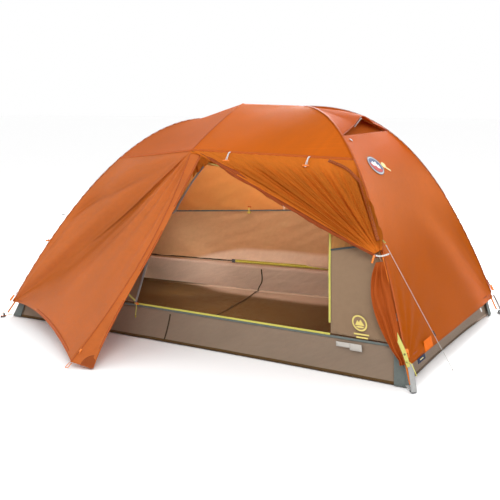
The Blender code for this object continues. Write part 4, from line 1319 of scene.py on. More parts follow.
def make_gathered():
    """Right front leaf drawn up to the leg: radiating folds, rolled edge, hanging tail."""
    edge = roll_line()
    tie = tie_point()
    top_left = brow_end(FRONT) + Vector((0.004, -0.003, -0.002))
    corner = brow_corner(HEAD, FRONT)
    legs = along_leg(HEAD, FRONT, BROW_SPLIT[HEAD], TIE_S - 0.015)
    top_length = (corner - top_left).length
    leg_length = length_of(legs, 10)
    knee = top_length / (top_length + leg_length)

    def start(t):
        """Sewn edge: along the brow seam, then down the leg seam."""
        if t < knee:
            return top_left.lerp(corner, t / knee)
        return legs((t - knee) / (1 - knee))

    def stop(t):
        """Bunched end at the tie, from the rolled edge to the leg."""
        return tie + Vector((-0.030 + 0.022 * t, -0.004 + 0.002 * t, -0.004 + 0.030 * t))

    def surface(t, v):
        a, b = start(t), stop(t)
        p = a.lerp(b, v)
        slack = 4 * v * (1 - v)
        reach = (b - a).length
        p += Vector((0.0, -0.030 * (1 - t) ** 0.7, 0.016 * (1 - t) ** 2)) * slack * min(reach, 1)
        p += Vector((0.010, -0.018, 0.0)) * slack * math.sin(math.pi * min(t * 1.1, 1)) * reach
        return p

    def relief(t, v, p):
        spread = math.sin(math.pi * min(max(v, 0), 1) ** 0.75)
        folds = 0.0
        for count, size, shift in ((8.0, 0.0115, 0.3), (15.0, 0.0075, 1.9), (29.0, 0.0036, 0.7)):
            drift = 0.9 * noise.noise(Vector((t * 3.0, v * 1.2, count)))
            wave = math.sin(2 * math.pi * count * t ** 0.9 + shift + drift * 1.8)
            folds += size * (1 - 2 * (1 - abs(wave)) ** 0.8 if wave > -0.2 else -abs(wave))
        folds *= spread * ease(v * 4) * ease((1 - v) * 6 + 0.15)
        pucker = 0.0014 * math.sin(t * 170 + 3 * noise.noise(p * 7)) * bell(v, 0.10)
        pucker *= ease(v * 40)
        small = 0.0035 * noise.noise(Vector((t * 26, v * 5, 3.3))) * ease(v * 8)
        return folds * ease(t * 10 + 0.2) * ease((1 - t) * 9 + 0.1) + pucker + small
    cloth("gathered_leaf_sheet", surface, 240, 80, "gather", relief, u_range=(0.0, 0.998),
          v_range=(0.0, 0.985), replaces=("vestibule_gathered_front_right",))

    # the free edge, rolled up on itself with a spiral of folds
    count = 110
    path = []
    for i in range(count + 1):
        t = i / count
        p = edge(t).lerp(surface(0.02, t), 0.45 * (1 - t))
        p.z += 0.022 * math.sin(math.pi * t) ** 0.5
        if t > 0.9:
            p = p.lerp(tie + Vector((-0.026, -0.010, -0.004)), (t - 0.9) * 8)
        sway = 0.004 * noise.noise(Vector((t * 6, 0.3, 0.9)))
        path.append(p + Vector((0, sway, sway)))

    def radius(t, angle):
        fat = math.sin(math.pi * min(0.08 + t * 0.95, 1)) ** 0.5
        body = 0.0150 * ease(t * 3.5 + 0.15) * (0.45 + 0.65 * fat)
        pinch = 1 - 0.45 * ease((t - 0.86) * 9)
        spiral = 0.0020 * math.sin(angle * 3 + t * 26) + 0.0012 * math.sin(angle * 7 - t * 60)
        crumpled = 0.0016 * noise.noise(Vector((math.cos(angle) * 2, math.sin(angle) * 2, t * 30)))
        return (body + spiral + crumpled) * pinch
    # the roll's cloth is a darker copy of the fly: painted shade
    sweep("gathered_roll", path, radius, "fold", 40,
          replaces=("vestibule_roll_front_right",), twist=6.0)

    # crinkled zip seam hanging in the folds, orange coil between two tapes
    knots = [(0.535, 0.03), (0.60, 0.14), (0.655, 0.36), (0.685, 0.56), (0.705, 0.72),
             (0.72, 0.86)]
    shares = path_function([Vector((a, b, 0)) for a, b in knots])
    outward = Vector((0.45, -0.85, 0.25))

    def zip_path(t):
        q = shares(t)
        wiggle = 0.0035 * math.sin(t * 44) * math.sin(math.pi * t)
        p = surface(q.x + wiggle, q.y)
        return p + outward.normalized() * (0.0125 + 0.0022 * math.sin(t * 61)) * ease(
            t * 8 + 0.2)
    zip_run("gathered_zip", zip_path, outward, material="patch", tape="patch", width=0.014)

    # tail of the leaf below the tie, hanging in narrow folds down the leg
    def tail(u, v):
        s = TIE_S + 0.012 + (HEM_S + 0.006 - TIE_S - 0.012) * v
        point = leg_skin(HEAD, FRONT, s)
        width = 0.020 + 0.068 * math.sin(math.pi * min(v * 1.02 + 0.03, 1.0)) ** 0.8
        return point + Vector((-0.004 - width * u, -0.010 - 0.010 * u, -0.004 * u))

    def tail_relief(u, v, p):
        folds = 0.0065 * math.sin(u * 15 + 2.5 * noise.noise(Vector((u, v * 4, 2))) + v * 2)
        return folds * ease(v * 6 + 0.1) * ease((1 - u) * 5 + 0.2) + 0.002 * noise.noise(p * 30)
    # the tail's cloth is a darker copy of the fly: painted shade
    cloth("gathered_tail_sheet", tail, 44, 90, "tail", tail_relief,
          replaces=("vestibule_tail_front_right",), out=-1)


def make_bunch():
    """Cloth bunched under the brow's end, where the flap's head and the gathered leaf meet."""
    tip, along = brow_end(FRONT), brow_corner(HEAD, FRONT)
    a = tip + Vector((-0.004, -0.010, -0.006))
    b = tip.lerp(along, 0.30) + Vector((0, -0.010, -0.010))
    c, d = Vector((0.101, -0.446, 0.848)), Vector((-0.030, -0.428, 0.775))

    def bunch(u, v):
        arch = Vector((0, 0, 0.018 * math.sin(math.pi * u) * v))
        return a.lerp(b, u).lerp(d.lerp(c, u), v) + arch

    def relief(u, v, p):
        folds = 0.006 * math.sin(u * 21 + 3 * noise.noise(p * 18)) * ease(v * 5)
        return folds + 0.006 * noise.noise(p * 55)
    cloth("brow_bunch_sheet", bunch, 40, 36, "gather", relief)


make_roof()
make_ends()
make_vent()
make_sides()
make_flap()
make_gathered()
make_bunch()


# ---------------------------------------------------------------- inner tent
def make_tub():
    """Bathtub floor: one cloth, walls tucked up at the corners."""
    rim = 0.80

    def surface(u, v):
        a, b = 2 * u - 1, 2 * v - 1
        outer = max(abs(a), abs(b))
        rise = max(0.0, (outer - rim) / (1 - rim))
        fx = (min(max(a, -rim), rim) / rim + 1) / 2
        fy = (min(max(b, -rim), rim) / rim + 1) / 2
        low = blend_corners(floor_corner, fx, fy)
        low.y -= (2 * fy - 1) * 0.020 * 4 * fx * (1 - fx)
        low.x -= (2 * fx - 1) * 0.026 * (4 * fy * (1 - fy)) ** 0.6
        high = blend_corners(tub_top, fx, fy)
        point = low.lerp(high, rise)
        if rise > 0:
            along = point.x + point.y * 0.7
            wave = 0.0035 * math.sin(along * 21 + 2 * noise.noise(point * 3)) * math.sin(
                math.pi * min(rise, 1))
            inward = Vector((-a if abs(a) > abs(b) else 0, -b if abs(b) >= abs(a) else 0, 0))
            point += inward.normalized() * (wave + 0.004 * math.sin(math.pi * rise))
        else:
            point.z += 0.0035 + 0.0030 * noise.noise(point * 5) * ease((1 - outer / rim) * 6)
        point.z = max(point.z, 0.0008)
        return point
    data, wide, tall = grid_mesh("floor_tub_sheet", grid_points(surface, 120, 100))
    area = sum(p.area for p in data.polygons)
    # painted light: the floor turns paler towards the rear, past a wavy line
    painted_shadings = []
    for vert in data.vertices:
        x, y, _ = vert.co
        edge = 0.37 + 0.16 * ease((-x - 0.25) / 0.6) + 0.05 * ease((x - 0.1) / 0.6)
        streak = 0.035 * noise.noise(Vector((x * 1.6, y * 9.0, 2.0)))
        painted_shadings.append(ease((y - edge - streak) / 0.11))
    store_painted_shading(data, painted_shadings)
    obj = link("floor_tub_sheet", data, "tub_in")
    for other in ("floor", "tub", "floor"):
        data.materials.append(M[other])
    for polygon in data.polygons:
        polygon.material_index = 1 if polygon.center.z < 0.012 else 0
    thick = thicken(obj, CLOTH_THICKNESS)
    thick.material_offset = 2
    thick.material_offset_rim = 2
    dress(obj, "tent", ("floor_tub",))
    wide = max(wide, area / tall)
    # bound upper edge all the way round
    ring = [tub_top(*corner) for corner in ((TAIL, FRONT), (HEAD, FRONT), (HEAD, REAR),
                                            (TAIL, REAR))]
    loop = [p.lerp(q, i / 24) for p, q in zip(ring, ring[1:] + ring[:1]) for i in range(24)]
    rows = []
    for p in loop + loop[:1]:
        half = 0.0095 if p.y > 0.3 else 0.0052
        out = Vector((0, p.y, 0)) if abs(p.y) > 0.5 else Vector((p.x, 0, 0))
        rows.append([p + Vector((0, 0, half * z)) + out.normalized() * 0.0016
                     + Vector((0, 0, 0.003)) for z in (-1, -0.33, 0.33, 1)])
    band = flat_piece("tub_binding", rows, "hem_grey", 0.0012)
    # the binding's rear stretch takes the tub's paler inner cloth: painted light
    band.data.materials.append(M["tub_in"])
    for polygon in band.data.polygons:
        polygon.material_index = 1 if polygon.center.y > 0.45 else 0
    # welded seam across the floor
    knots = ((0.444, 0.115), (0.444, 0.48), (0.436, 0.65), (0.427, 0.78), (0.417, 0.895),
             (0.424, 0.945), (0.419, 0.992))
    steps = path_function([Vector((u, v, 0)) for u, v in knots])

    def seam(t):
        spot = steps(t)
        lift = ease((spot.y - 0.88) * 40)
        return surface(spot.x, spot.y) + Vector((0, -0.0045 * lift, 0.0042 * (1 - lift)))
    ribbon("floor_seam", seam, (1, 0, 0), 0.0075, "seam_dark", 0.0010, 110)
    ribbon("tub_seam_front", lambda t: surface(0.462 - 0.005 * t, 0.010 + 0.080 * t)
           + Vector((0, -0.0026, 0)), (1, 0, 0), 0.0065, "seam_dark", 0.0010,
           24)
    # reinforced corners, outside each tub corner
    for end, side, name in corners():
        corner, top = floor_corner(end, side), tub_top(end, side)

        def patch(u, v, c=corner, t=top, e=end, s=side):
            reach = 0.052 * (1 - 0.45 * v)
            a = (u - 0.5) * 2
            p = c.lerp(t, v * 0.92)
            if a < 0:
                p += Vector((-e * reach * -a, 0, 0))
            else:
                p += Vector((0, -s * reach * a, 0))
            out = Vector((0 if a < -0.02 else e, s if a < 0.02 else 0, 0)).normalized()
            return p + out * 0.0040 + Vector((0, 0, 0.003))
        flat_piece(f"tub_corner_{name}", grid_points(patch, 20, 10), "hem_grey", 0.0010)


def wall_relief(seed, size=0.010):
    def relief(u, v, p):
        q = Vector((p.x * 2.4, p.z * 3.6, seed))
        soft = size * noise.noise(q)
        drag = 0.0050 * math.sin(p.x * 24 + p.z * 17 + 3 * noise.noise(q * 1.3)) * bell(v, 0.30)
        pucker = 0.0014 * math.sin(p.x * 150 + 3 * noise.noise(q * 4)) * bell(min(v, 1 - v), 0.04)
        strokes = 0.0017 * math.sin(p.x * 34 - p.z * 88 + 7 * noise.noise(q * 1.1)) * ease(
            0.5 + 1.6 * noise.noise(q * 1.7))
        return (soft + drag + strokes) * ease(min(u, 1 - u) * 14) * ease(
            min(v, 1 - v) * 14) + pucker
    return relief


def split(surface, low, high):
    """Part of a surface between two shares of its height."""
    return lambda u, v: surface(u, low + (high - low) * v)


def make_walls():
    wall = side_wall(FRONT)
    right_edge, left_edge = door_curve(DOOR_RIGHT), door_curve(DOOR_LEFT)

    def corner_path(points, turn):
        first, middle, last = [Vector(p) for p in points]

        def at(t):
            if t < turn:
                return first.lerp(middle, t / turn)
            return middle.lerp(last, (t - turn) / (1 - turn))
        return at

    def between(left, right):
        def at(u, v):
            low, high = left(v), right(v)
            spot = low.lerp(high, u)
            return wall(spot.x, spot.y)
        return at
    outer_right = corner_path([(1, 0, 0), (1, 1, 0), (right_edge(1).x, 1, 0)], 0.62)
    outer_left = corner_path([(0, 0, 0), (0, 1, 0), (left_edge(1).x, 1, 0)], 0.80)
    right, left = between(right_edge, outer_right), between(outer_left, left_edge)
    band = 0.285
    cloth("inner_front_right_solid", split(right, 0.004, band), 50, 50, "inner",
          wall_relief(1.0, 0.006), replaces=("inner_wall_front_right",),
          u_range=(0.006, 0.994))
    cloth("inner_front_right_mesh", split(right, band, 0.995), 50, 90, "mesh",
          wall_relief(2.0, 0.005), u_range=(0.006, 0.994))
    ribbon("inner_front_right_tape", lambda t: right(0.006 + 0.988 * t, band) + Vector((0, -0.003, 0)),
           (0, 0.2, 1), 0.008, "teal", 0.0010, 40)
    cloth("inner_front_left_wall", left, 40, 70, "inner", wall_relief(3.0, 0.006),
          replaces=("inner_wall_front_left",), u_range=(0.004, 0.996),
          v_range=(0.004, 0.992))
    # grey binding on the door's left edge and under the brow
    steps = [left(0.999, i / 40) + Vector((0.004, -0.0040, 0)) for i in range(0, 22, 3)]
    steps += [Vector((-0.115, -0.466, 0.612)), Vector((-0.095, -0.452, 0.655)),
              Vector((-0.040, -0.421, 0.755)), Vector((0.021, -0.387, 0.846))]
    ribbon("door_binding_left", path_function(steps), (1, 0, 0.2), 0.013, "grey_tape", 0.0016,
           60)

    rear, seam, zip_row = side_wall(REAR), 0.415, 0.022

    def pale(v, p):
        """Painted light: the foot of the wall turns paler, as if lit from under the far hem, more to
        the right.
        """
        return ease((0.30 * ease((p.x + 0.84) / 0.58) - v) / 0.08)
    cloth("inner_rear_solid", split(rear, 0.004, seam), 110, 50, "far", wall_relief(4.0, 0.016),
          replaces=("inner_wall_rear",), u_range=(0.004, 0.996),
          painted_shading=pale)
    cloth("inner_rear_mesh", split(rear, seam, 0.988), 100, 44, "mesh", wall_relief(5.0, 0.008),
          u_range=(0.004, 0.996))
    ribbon("inner_rear_tape", lambda t: rear(0.004 + 0.992 * t, seam) + Vector((0, -0.0025, 0)),
           (0, 0.2, 1), 0.008, "teal", 0.0012, 90)

    # zip along the foot of the far door
    def low_zip(t):
        return rear(0.317 + 0.543 * t, zip_row) + Vector((0, -0.0055, 0))
    ribbon("rear_door_tape", lambda t: rear(0.03 + 0.287 * t, zip_row) + Vector((0, -0.004, 0)),
           (0, 0.2, 1), 0.008, "seam_dark", 0.0012, 30)
    zip_run("rear_door_zip", low_zip, (0, -1, 0.1), 1.12, tape="olive_tape", width=0.018)
    cap = low_zip(0.0)
    solid("rear_zip_cap", [("box", (0, 0, 0), (0.022, 0.004, 0.020), None)], "black",
          frame_at(cap + Vector((-0.010, -0.002, 0)), (1, 0, 0), (0, 0, 1)))
    return wall, right_edge, left_edge


def make_inner_shell():
    cloth("inner_roof_sheet", roof_surface(INNER_DEPTH), 60, 60, "mesh",
          lambda u, v, p: -0.010 * math.sin(math.pi * abs(2 * u - 1)) * math.sin(
              math.pi * abs(2 * v - 1)) + 0.004 * noise.noise(p * 5),
          replaces=("inner_roof",), u_range=(0.006, 0.994),
          v_range=(0.008, 0.992))
    for end, name in ((HEAD, "right"), (TAIL, "left")):
        s_low = leg_s_at_height(end, TUB_HEIGHT + 0.03)
        surface = inner_end_surface(end, s_low)
        cloth(f"inner_end_{name}_solid", split(surface, 0.0, 0.42), 50, 40, "far",
              wall_relief(6.0 + end, 0.010),
              replaces=(f"inner_end_{name}",), u_range=(0.010, 0.990), out=end)
        cloth(f"inner_end_{name}_mesh", split(surface, 0.42, 1.0), 50, 50,
              "mesh", wall_relief(8.0 + end, 0.006),
              u_range=(0.010, 0.990), out=end)
        ribbon(f"inner_end_{name}_tape", lambda t, s=surface: s(0.01 + 0.98 * t, 0.42),
               (0, 0, 1), 0.013, "teal", 0.0012, 60)


def make_door(wall, right_edge, left_edge):
    """Zip along the open doorway, its slider and pull, and the door rolled to the left."""
    start, stop = left_edge(0).x, right_edge(0).x

    def up(t):
        q = right_edge(0.035 + 0.890 * t)
        return wall(q.x, q.y) + Vector((-0.002, -0.0030, 0))

    def low(t):
        spot = wall(start + (stop - start) * t, 0.0)
        return spot + Vector((0, -0.0040, 0.006))
    zip_run("door_zip_side", up, (0.1, -1, 0.3), width=0.0088, replaces=("door_zip",))
    zip_run("door_zip_low", low, (0, -1, 0.3), width=0.0085)
    piping = smooth_path([Vector((0.066, -0.446, 0.850)), Vector((0.122, -0.450, 0.839)),
                          Vector((0.178, -0.456, 0.823))], 20)
    sweep("door_top_piping", piping, 0.0024, "lime_tape", 10)
    sling = smooth_path([Vector((-0.300, -0.622, 0.246)), Vector((-0.274, -0.622, 0.222)),
                         Vector((-0.246, -0.620, 0.200))], 20)
    ribbon("door_corner_web", path_function(sling), (0.6, 0, 0.8), 0.009,
           "lime_tape", 0.0012, 20)
    first, last = [wall(x, 0.0) + Vector((0, -0.0005, 0.006)) for x in (start, stop)]
    heading = (last - first).normalized()
    seat = first + heading * 0.018 + Vector((0, -0.0072, 0))
    place = frame_at(seat, heading, (0, 0, 1))
    solid("door_slider", [
        ("box", (0, 0.0, 0), (0.017, 0.0045, 0.0115), None),
        ("box", (-0.004, 0.0028, 0), (0.008, 0.0016, 0.007), None),
        ("ring", (0.006, 0.0045, 0), (0.0030, 0.0009), (0, 0, 1))],
        "orange", place, "door_zip_slider", ("door_zip_slider",))
    eye = seat + Vector((0, -0.0048, -0.003))
    pull = [eye, eye + Vector((-0.001, -0.002, -0.020)), eye + Vector((-0.004, -0.003, -0.042)),
            eye + Vector((-0.006, -0.003, -0.062))]
    sweep("door_pull_cord", smooth_path(pull, 24), 0.0017, "lime_cord", 10,
          body="door_zip_pull", replaces=("door_zip_pull",))
    end = pull[-1]
    solid("door_pull_knot", [("rod", (0, 0, 0), (0.0034, 0.0030, 0.012), None)], "olive_tape",
          frame_at(end + Vector((0, 0, 0.004)), (1, 0, 0), (0, 0, 1)), "door_zip_pull")

    bundle = []
    for i in range(60):
        t = 0.08 + 0.80 * i / 59
        spot = left_edge(t)
        point = wall(spot.x - 0.055, spot.y)
        bundle.append(point + Vector((0, 0.034, 0)))

    def radius(t, angle):
        ends = ease(t * 12 + 0.35) * ease((1 - t) * 12 + 0.35)
        folds = 0.0024 * math.sin(angle * 4 + t * 18) + 0.0016 * math.sin(angle * 9 - t * 31)
        ties = 1 - 0.35 * (bell(t - 0.3, 0.02) + bell(t - 0.7, 0.02))
        return (0.0205 + folds) * ends * ties
    sweep("inner_door_roll", bundle, radius, "mesh", 40,
          replaces=("inner_door_bundle",), twist=4.0)
    for k in (0.3, 0.7):
        index = int(k * 59)
        p, q = bundle[index], bundle[index + 1]
        solid(f"inner_door_tie_{int(k * 10)}", [("ring", (0, 0, 0), (0.0175, 0.0022), None)],
              "orange_web", aimed(p, q - p))


def make_inner_toggle():
    wall = side_wall(REAR)
    hang = wall(0.36, 0.44) + Vector((0, -0.010, 0.0))
    middle = hang + Vector((0.0, -0.001, -0.030))
    along = Vector((0.9, 0.1, 0.2)).normalized()
    solid("interior_toggle_bar", [("rod", (0, 0, 0), (0.0040, 0.0040, 0.022), (1, 0, 0)),
                                  ("rod", (0, 0, 0), (0.0030, 0.0030, 0.006), (0, 0, 1))],
          "olive_tape", frame_at(middle, along, (0, 0, 1)), "interior_toggle",
          ("interior_toggle",))
    sweep("interior_toggle_loop", smooth_path([
        hang + Vector((-0.003, 0, 0.0)), middle + Vector((-0.0035, 0, 0.008)),
        middle + Vector((0, 0, -0.0045)), middle + Vector((0.0035, 0, 0.008)),
        hang + Vector((0.003, 0, 0.0))], 30), 0.0013, "lime_cord", 8, body="interior_toggle")
    tab = wall(0.36, 0.44)
    solid("interior_tab", [("box", (0, 0, 0), (0.022, 0.002, 0.008), None)], "patch",
          frame_at(tab + Vector((0, -0.006, 0.004)), (1, 0, 0), (0, 0, 1)),
          bevel=0.0004)


make_tub()
WALL, RIGHT_EDGE, LEFT_EDGE = make_walls()
make_inner_shell()
make_door(WALL, RIGHT_EDGE, LEFT_EDGE)
make_inner_toggle()


# ---------------------------------------------------------------- poles
FERRULE_STEP = 0.43


def pole(name, points, node):
    """Anodised tube with a ferrule and a rolled lip at each section joint."""
    fine = []
    for a, b in zip(points, points[1:]):
        count = max(int((b - a).length / 0.004), 1)
        fine.extend([a.lerp(b, i / count) for i in range(count)])
    fine.append(points[-1])
    lengths = arc(fine)
    total = lengths[-1]

    def radius(t, angle):
        along = (t * total) % FERRULE_STEP
        return POLE_RADIUS + (0.0005 if min(along, FERRULE_STEP - along) < 0.004 else 0.0)
    sweep(name, fine, radius, "pole", 20, replaces=(node,))
    place, index = FERRULE_STEP, 0
    while place < total - 0.06:
        k = next(i for i, d in enumerate(lengths) if d >= place)
        sweep(f"{name}_ferrule_{index}", fine[max(k - 4, 0):k + 5], POLE_RADIUS + 0.00035,
              "ferrule", 20)
        place += FERRULE_STEP
        index += 1


def pole_lines():
    ridge = [HUB[TAIL], Vector((0, 0, PEAK_Z - 0.014)), HUB[HEAD]]
    axis = [point - Vector((0, 0, POLE_DEPTH)) for point in ridge]
    curve = smooth_path(axis, 41)
    spine = [p for p in curve if (p - axis[0]).length > 0.032 and (p - axis[2]).length > 0.032]
    reach = BROW_Y - 0.030
    cross = []
    for i in range(23):
        y = -reach + 2 * reach * i / 22
        cross.append(Vector((0.0, y, cross_height(math.hypot(y, 0.020)) - 0.013)))
    legs = {}
    for end, side, name in corners():
        s_end = leg_s_at_height(end, 0.027)
        points = []
        for i in range(20):
            s = 0.033 + (s_end - 0.033) * i / 19
            settle = max(0.0, (s - 0.93) / 0.07)
            points.append(leg_line(end, side, s, POLE_DEPTH * (1 - settle * settle)))
        legs[name] = points
    return spine, cross, legs


def make_frame():
    spine, cross, legs = pole_lines()
    pole("pole_spine", spine, "spine_pole")
    pole("pole_cross", cross, "cross_pole")
    for name, points in legs.items():
        pole(f"pole_leg_{name}", points, f"leg_pole_{name}")
    for end, side, name in corners():
        tip = foot(end, side)
        solid(f"foot_tip_{name}", [
            ("rod", (0, 0, 0.0135), (0.0050, 0.0056, 0.0110), None),
            ("rod", (0, 0, 0.0050), (0.0032, 0.0050, 0.0100), None),
            ("rod", (0, 0, 0.0190), (0.0064, 0.0064, 0.0020), None)],
            "black", Matrix.Translation(tip),
            replaces=(f"pole_tip_{name}",), bevel=0.0004)
    for end, name in ((HEAD, "right"), (TAIL, "left")):
        centre = HUB[end] - Vector((0, 0, POLE_DEPTH))
        spine_way = (Vector((0, 0, PEAK_Z - 0.008 - POLE_DEPTH)) - centre).normalized()
        parts = []
        ways = [spine_way]
        for side in (FRONT, REAR):
            ways.append((leg_line(end, side, 0.05, POLE_DEPTH) - centre).normalized())
        for way in ways:
            parts.append(("rod", way * 0.012, (0.0070, 0.0068, 0.028), way))
            parts.append(("rod", way * 0.0255, (0.0077, 0.0077, 0.0035), way))
            parts.append(("rod", way * 0.0130, (0.0074, 0.0074, 0.0020), way))
        parts.append(("rod", (0, 0, 0), (0.0078, 0.0078, 0.0155), (0, 0, 1)))
        solid(f"hub_body_{name}", parts, "black", Matrix.Translation(centre),
              replaces=(f"hub_{name}",), bevel=0.0004)
    low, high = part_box("centre_swivel")
    middle = Vector([(a + b) / 2 for a, b in zip(low, high)])
    tall = high[2] - low[2]
    solid("swivel_post", [("rod", (0, 0, 0), (0.0044, 0.0044, tall * 0.98), None),
                          ("rod", (0, 0, 0), (0.0056, 0.0056, tall * 0.30), None)],
          "black", Matrix.Translation(middle),
          replaces=("centre_swivel",), bevel=0.0003)
    make_clips()


def make_clips():
    """Hooks from the inner tent up to the poles."""
    for end, side, name in corners():
        for k, s in enumerate((0.20, 0.36, 0.52, 0.68)):
            at = leg_line(end, side, s, POLE_DEPTH)
            way = (at - leg_line(end, side, s, INNER_DEPTH - 0.004)).normalized()
            ahead = leg_line(end, side, s + 0.01, POLE_DEPTH) - at
            solid(f"clip_{name}_{k}", [
                ("ring", (0, 0, 0), (0.0062, 0.0016), (1, 0, 0)),
                ("box", (0, 0, -0.0160), (0.0040, 0.0030, 0.0200), None),
                ("box", (0, 0, -0.0250), (0.0060, 0.0140, 0.0016), None)],
                "black", frame_at(at, ahead, way), bevel=0.0004)


# ---------------------------------------------------------------- straps and buckles
def make_corner_gear():
    for end, side, name in corners():
        outward = Vector((end, side, 0)).normalized()
        width_dir = Vector((-outward.y, outward.x, 0))
        high = leg_skin(end, side, HEM_S + 0.004) + outward * 0.0085
        if (end, side) == (HEAD, FRONT):
            high.x += 0.009
        low = foot(end, side) + outward * 0.0190 + Vector((0, 0, 0.004))
        run = bowed(line(high, low), outward * 0.0015)
        wide = end == HEAD
        material = "webbing" if wide else "orange_web"
        ribbon(f"strap_{name}", run, width_dir, 0.024 if wide else 0.013,
               material, 0.0014, 30, replaces=(f"corner_strap_{name}",),
               puckered=0.0002)
        # second leg of the strap, from the tub's lower corner out to the pole tip
        tub = floor_corner(end, side) + outward * 0.004 + Vector((0, 0, 0.012))
        ground = low + Vector((0, 0, 0.002)) - outward * 0.006
        ribbon(f"strap_tub_{name}", line(tub, ground), width_dir,
               0.016 if wide else 0.010, material, 0.0013, 12)
        # grommet plate that the pole tip sits in
        solid(f"grommet_{name}", [
            ("ring", (0, 0, 0), (0.0090, 0.0021, 1.25), (0, 0, 1)),
            ("box", (0.012, 0, -0.001), (0.012, 0.020, 0.0030), None)],
            "black", frame_at(foot(end, side) + outward * 0.002 + Vector((0, 0, 0.0048)),
                              outward, (0, 0, 1)))
        top = leg_skin(end, side, HEM_S - 0.012) + outward * 0.0145
        down = (low - high).normalized()
        place = frame_at(top, width_dir, -down)
        solid(f"buckle_{name}", [
            ("box", (0, 0, 0.009), (0.018, 0.0085, 0.016), None),
            ("box", (-0.0072, 0, -0.007), (0.0036, 0.0085, 0.020), None),
            ("box", (0.0072, 0, -0.007), (0.0036, 0.0085, 0.020), None),
            ("box", (0, 0, -0.0155), (0.018, 0.0085, 0.0036), None),
            ("rod", (0, 0, -0.005), (0.0019, 0.0019, 0.0150), (1, 0, 0)),
            ("rod", (0, 0.0046, 0.010), (0.0034, 0.0034, 0.0014), (0, 1, 0))],
            "orange", place, replaces=(f"fly_buckle_{name}",))
        # short orange strap that sews the buckle to the hem
        sewn = leg_skin(end, side, HEM_S - 0.030) + outward * 0.0060
        ribbon(f"buckle_strap_{name}", line(sewn, top + down * -0.012 - outward * 0.004),
               width_dir, 0.012, "tail", 0.0013, 10)
    # tapered yellow-green strap with eyelets, from the inner wall to the front right buckle
    a = leg_line(HEAD, FRONT, 0.905, 0.030) + Vector((-0.026, -0.012, 0.040))
    b = leg_skin(HEAD, FRONT, 0.955) + Vector((-0.004, -0.016, 0.034))
    c = leg_skin(HEAD, FRONT, 0.972) + Vector((0.006, -0.018, 0.026))
    path = path_function([a, a.lerp(b, 0.55), b, c])
    rows = []
    for j in range(31):
        t = j / 30
        p = path(t)
        ahead = (path(min(t + 0.02, 1)) - path(max(t - 0.02, 0))).normalized()
        across = ahead.cross(Vector((0.3, -1, 0.1))).normalized()
        half = 0.0035 + 0.0050 * math.sin(math.pi * min(t * 0.75 + 0.05, 1))
        rows.append([p + across * (half * x) for x in (-1, -0.33, 0.33, 1)])
    flat_piece("eyelet_strap", rows, "lime_tape", 0.0013)
    for k, t in enumerate((0.70, 0.88)):
        solid(f"eyelet_{k}", [("ring", (0, 0, 0), (0.0030, 0.0011), (0, 1, 0))], "black",
              frame_at(path(t) + Vector((0.0, -0.0016, 0)), (1, 0, 0), (0, 0, 1)))
    cord_path = smooth_path([path(0.86) + Vector((0, -0.004, 0)),
                             path(0.9) + Vector((0.020, -0.012, 0.002)),
                             path(1.0) + Vector((0.030, -0.010, -0.012)),
                             path(1.0) + Vector((0.036, -0.006, -0.030))], 30)
    sweep("corner_cord", cord_path, 0.0015, "lime_cord", 10)


# ---------------------------------------------------------------- toggles and loops
def bar_toggle(name, hang, drop, bar_direction, bar_length, body, node, slack=0.0045):
    """White elastic loop with an orange bar through it."""
    hang, drop = Vector(hang), Vector(drop)
    middle = hang + drop
    along = Vector(bar_direction).normalized()
    solid(f"{name}_bar", [
        ("rod", (0, 0, 0), (0.0040, 0.0040, bar_length), (1, 0, 0)),
        ("rod", (bar_length * 0.42, 0, 0), (0.0050, 0.0044, 0.004), (1, 0, 0)),
        ("rod", (-bar_length * 0.42, 0, 0), (0.0044, 0.0050, 0.004), (1, 0, 0)),
        ("ring", (0, 0, 0), (0.0046, 0.0012), (1, 0, 0))],
        "orange", frame_at(middle, along, (0, 0, 1)), body, (node,))
    aside = along
    loop = [hang + aside * 0.0014, hang.lerp(middle, 0.5) + aside * slack * 0.5,
            middle + aside * 0.0032 + drop.normalized() * 0.002,
            middle + drop.normalized() * 0.0058,
            middle - aside * 0.0032 + drop.normalized() * 0.002,
            hang.lerp(middle, 0.5) - aside * slack * 0.5, hang - aside * 0.0014]
    sweep(f"{name}_elastic", smooth_path(loop, 48), 0.0015, "elastic", 10, body=body)


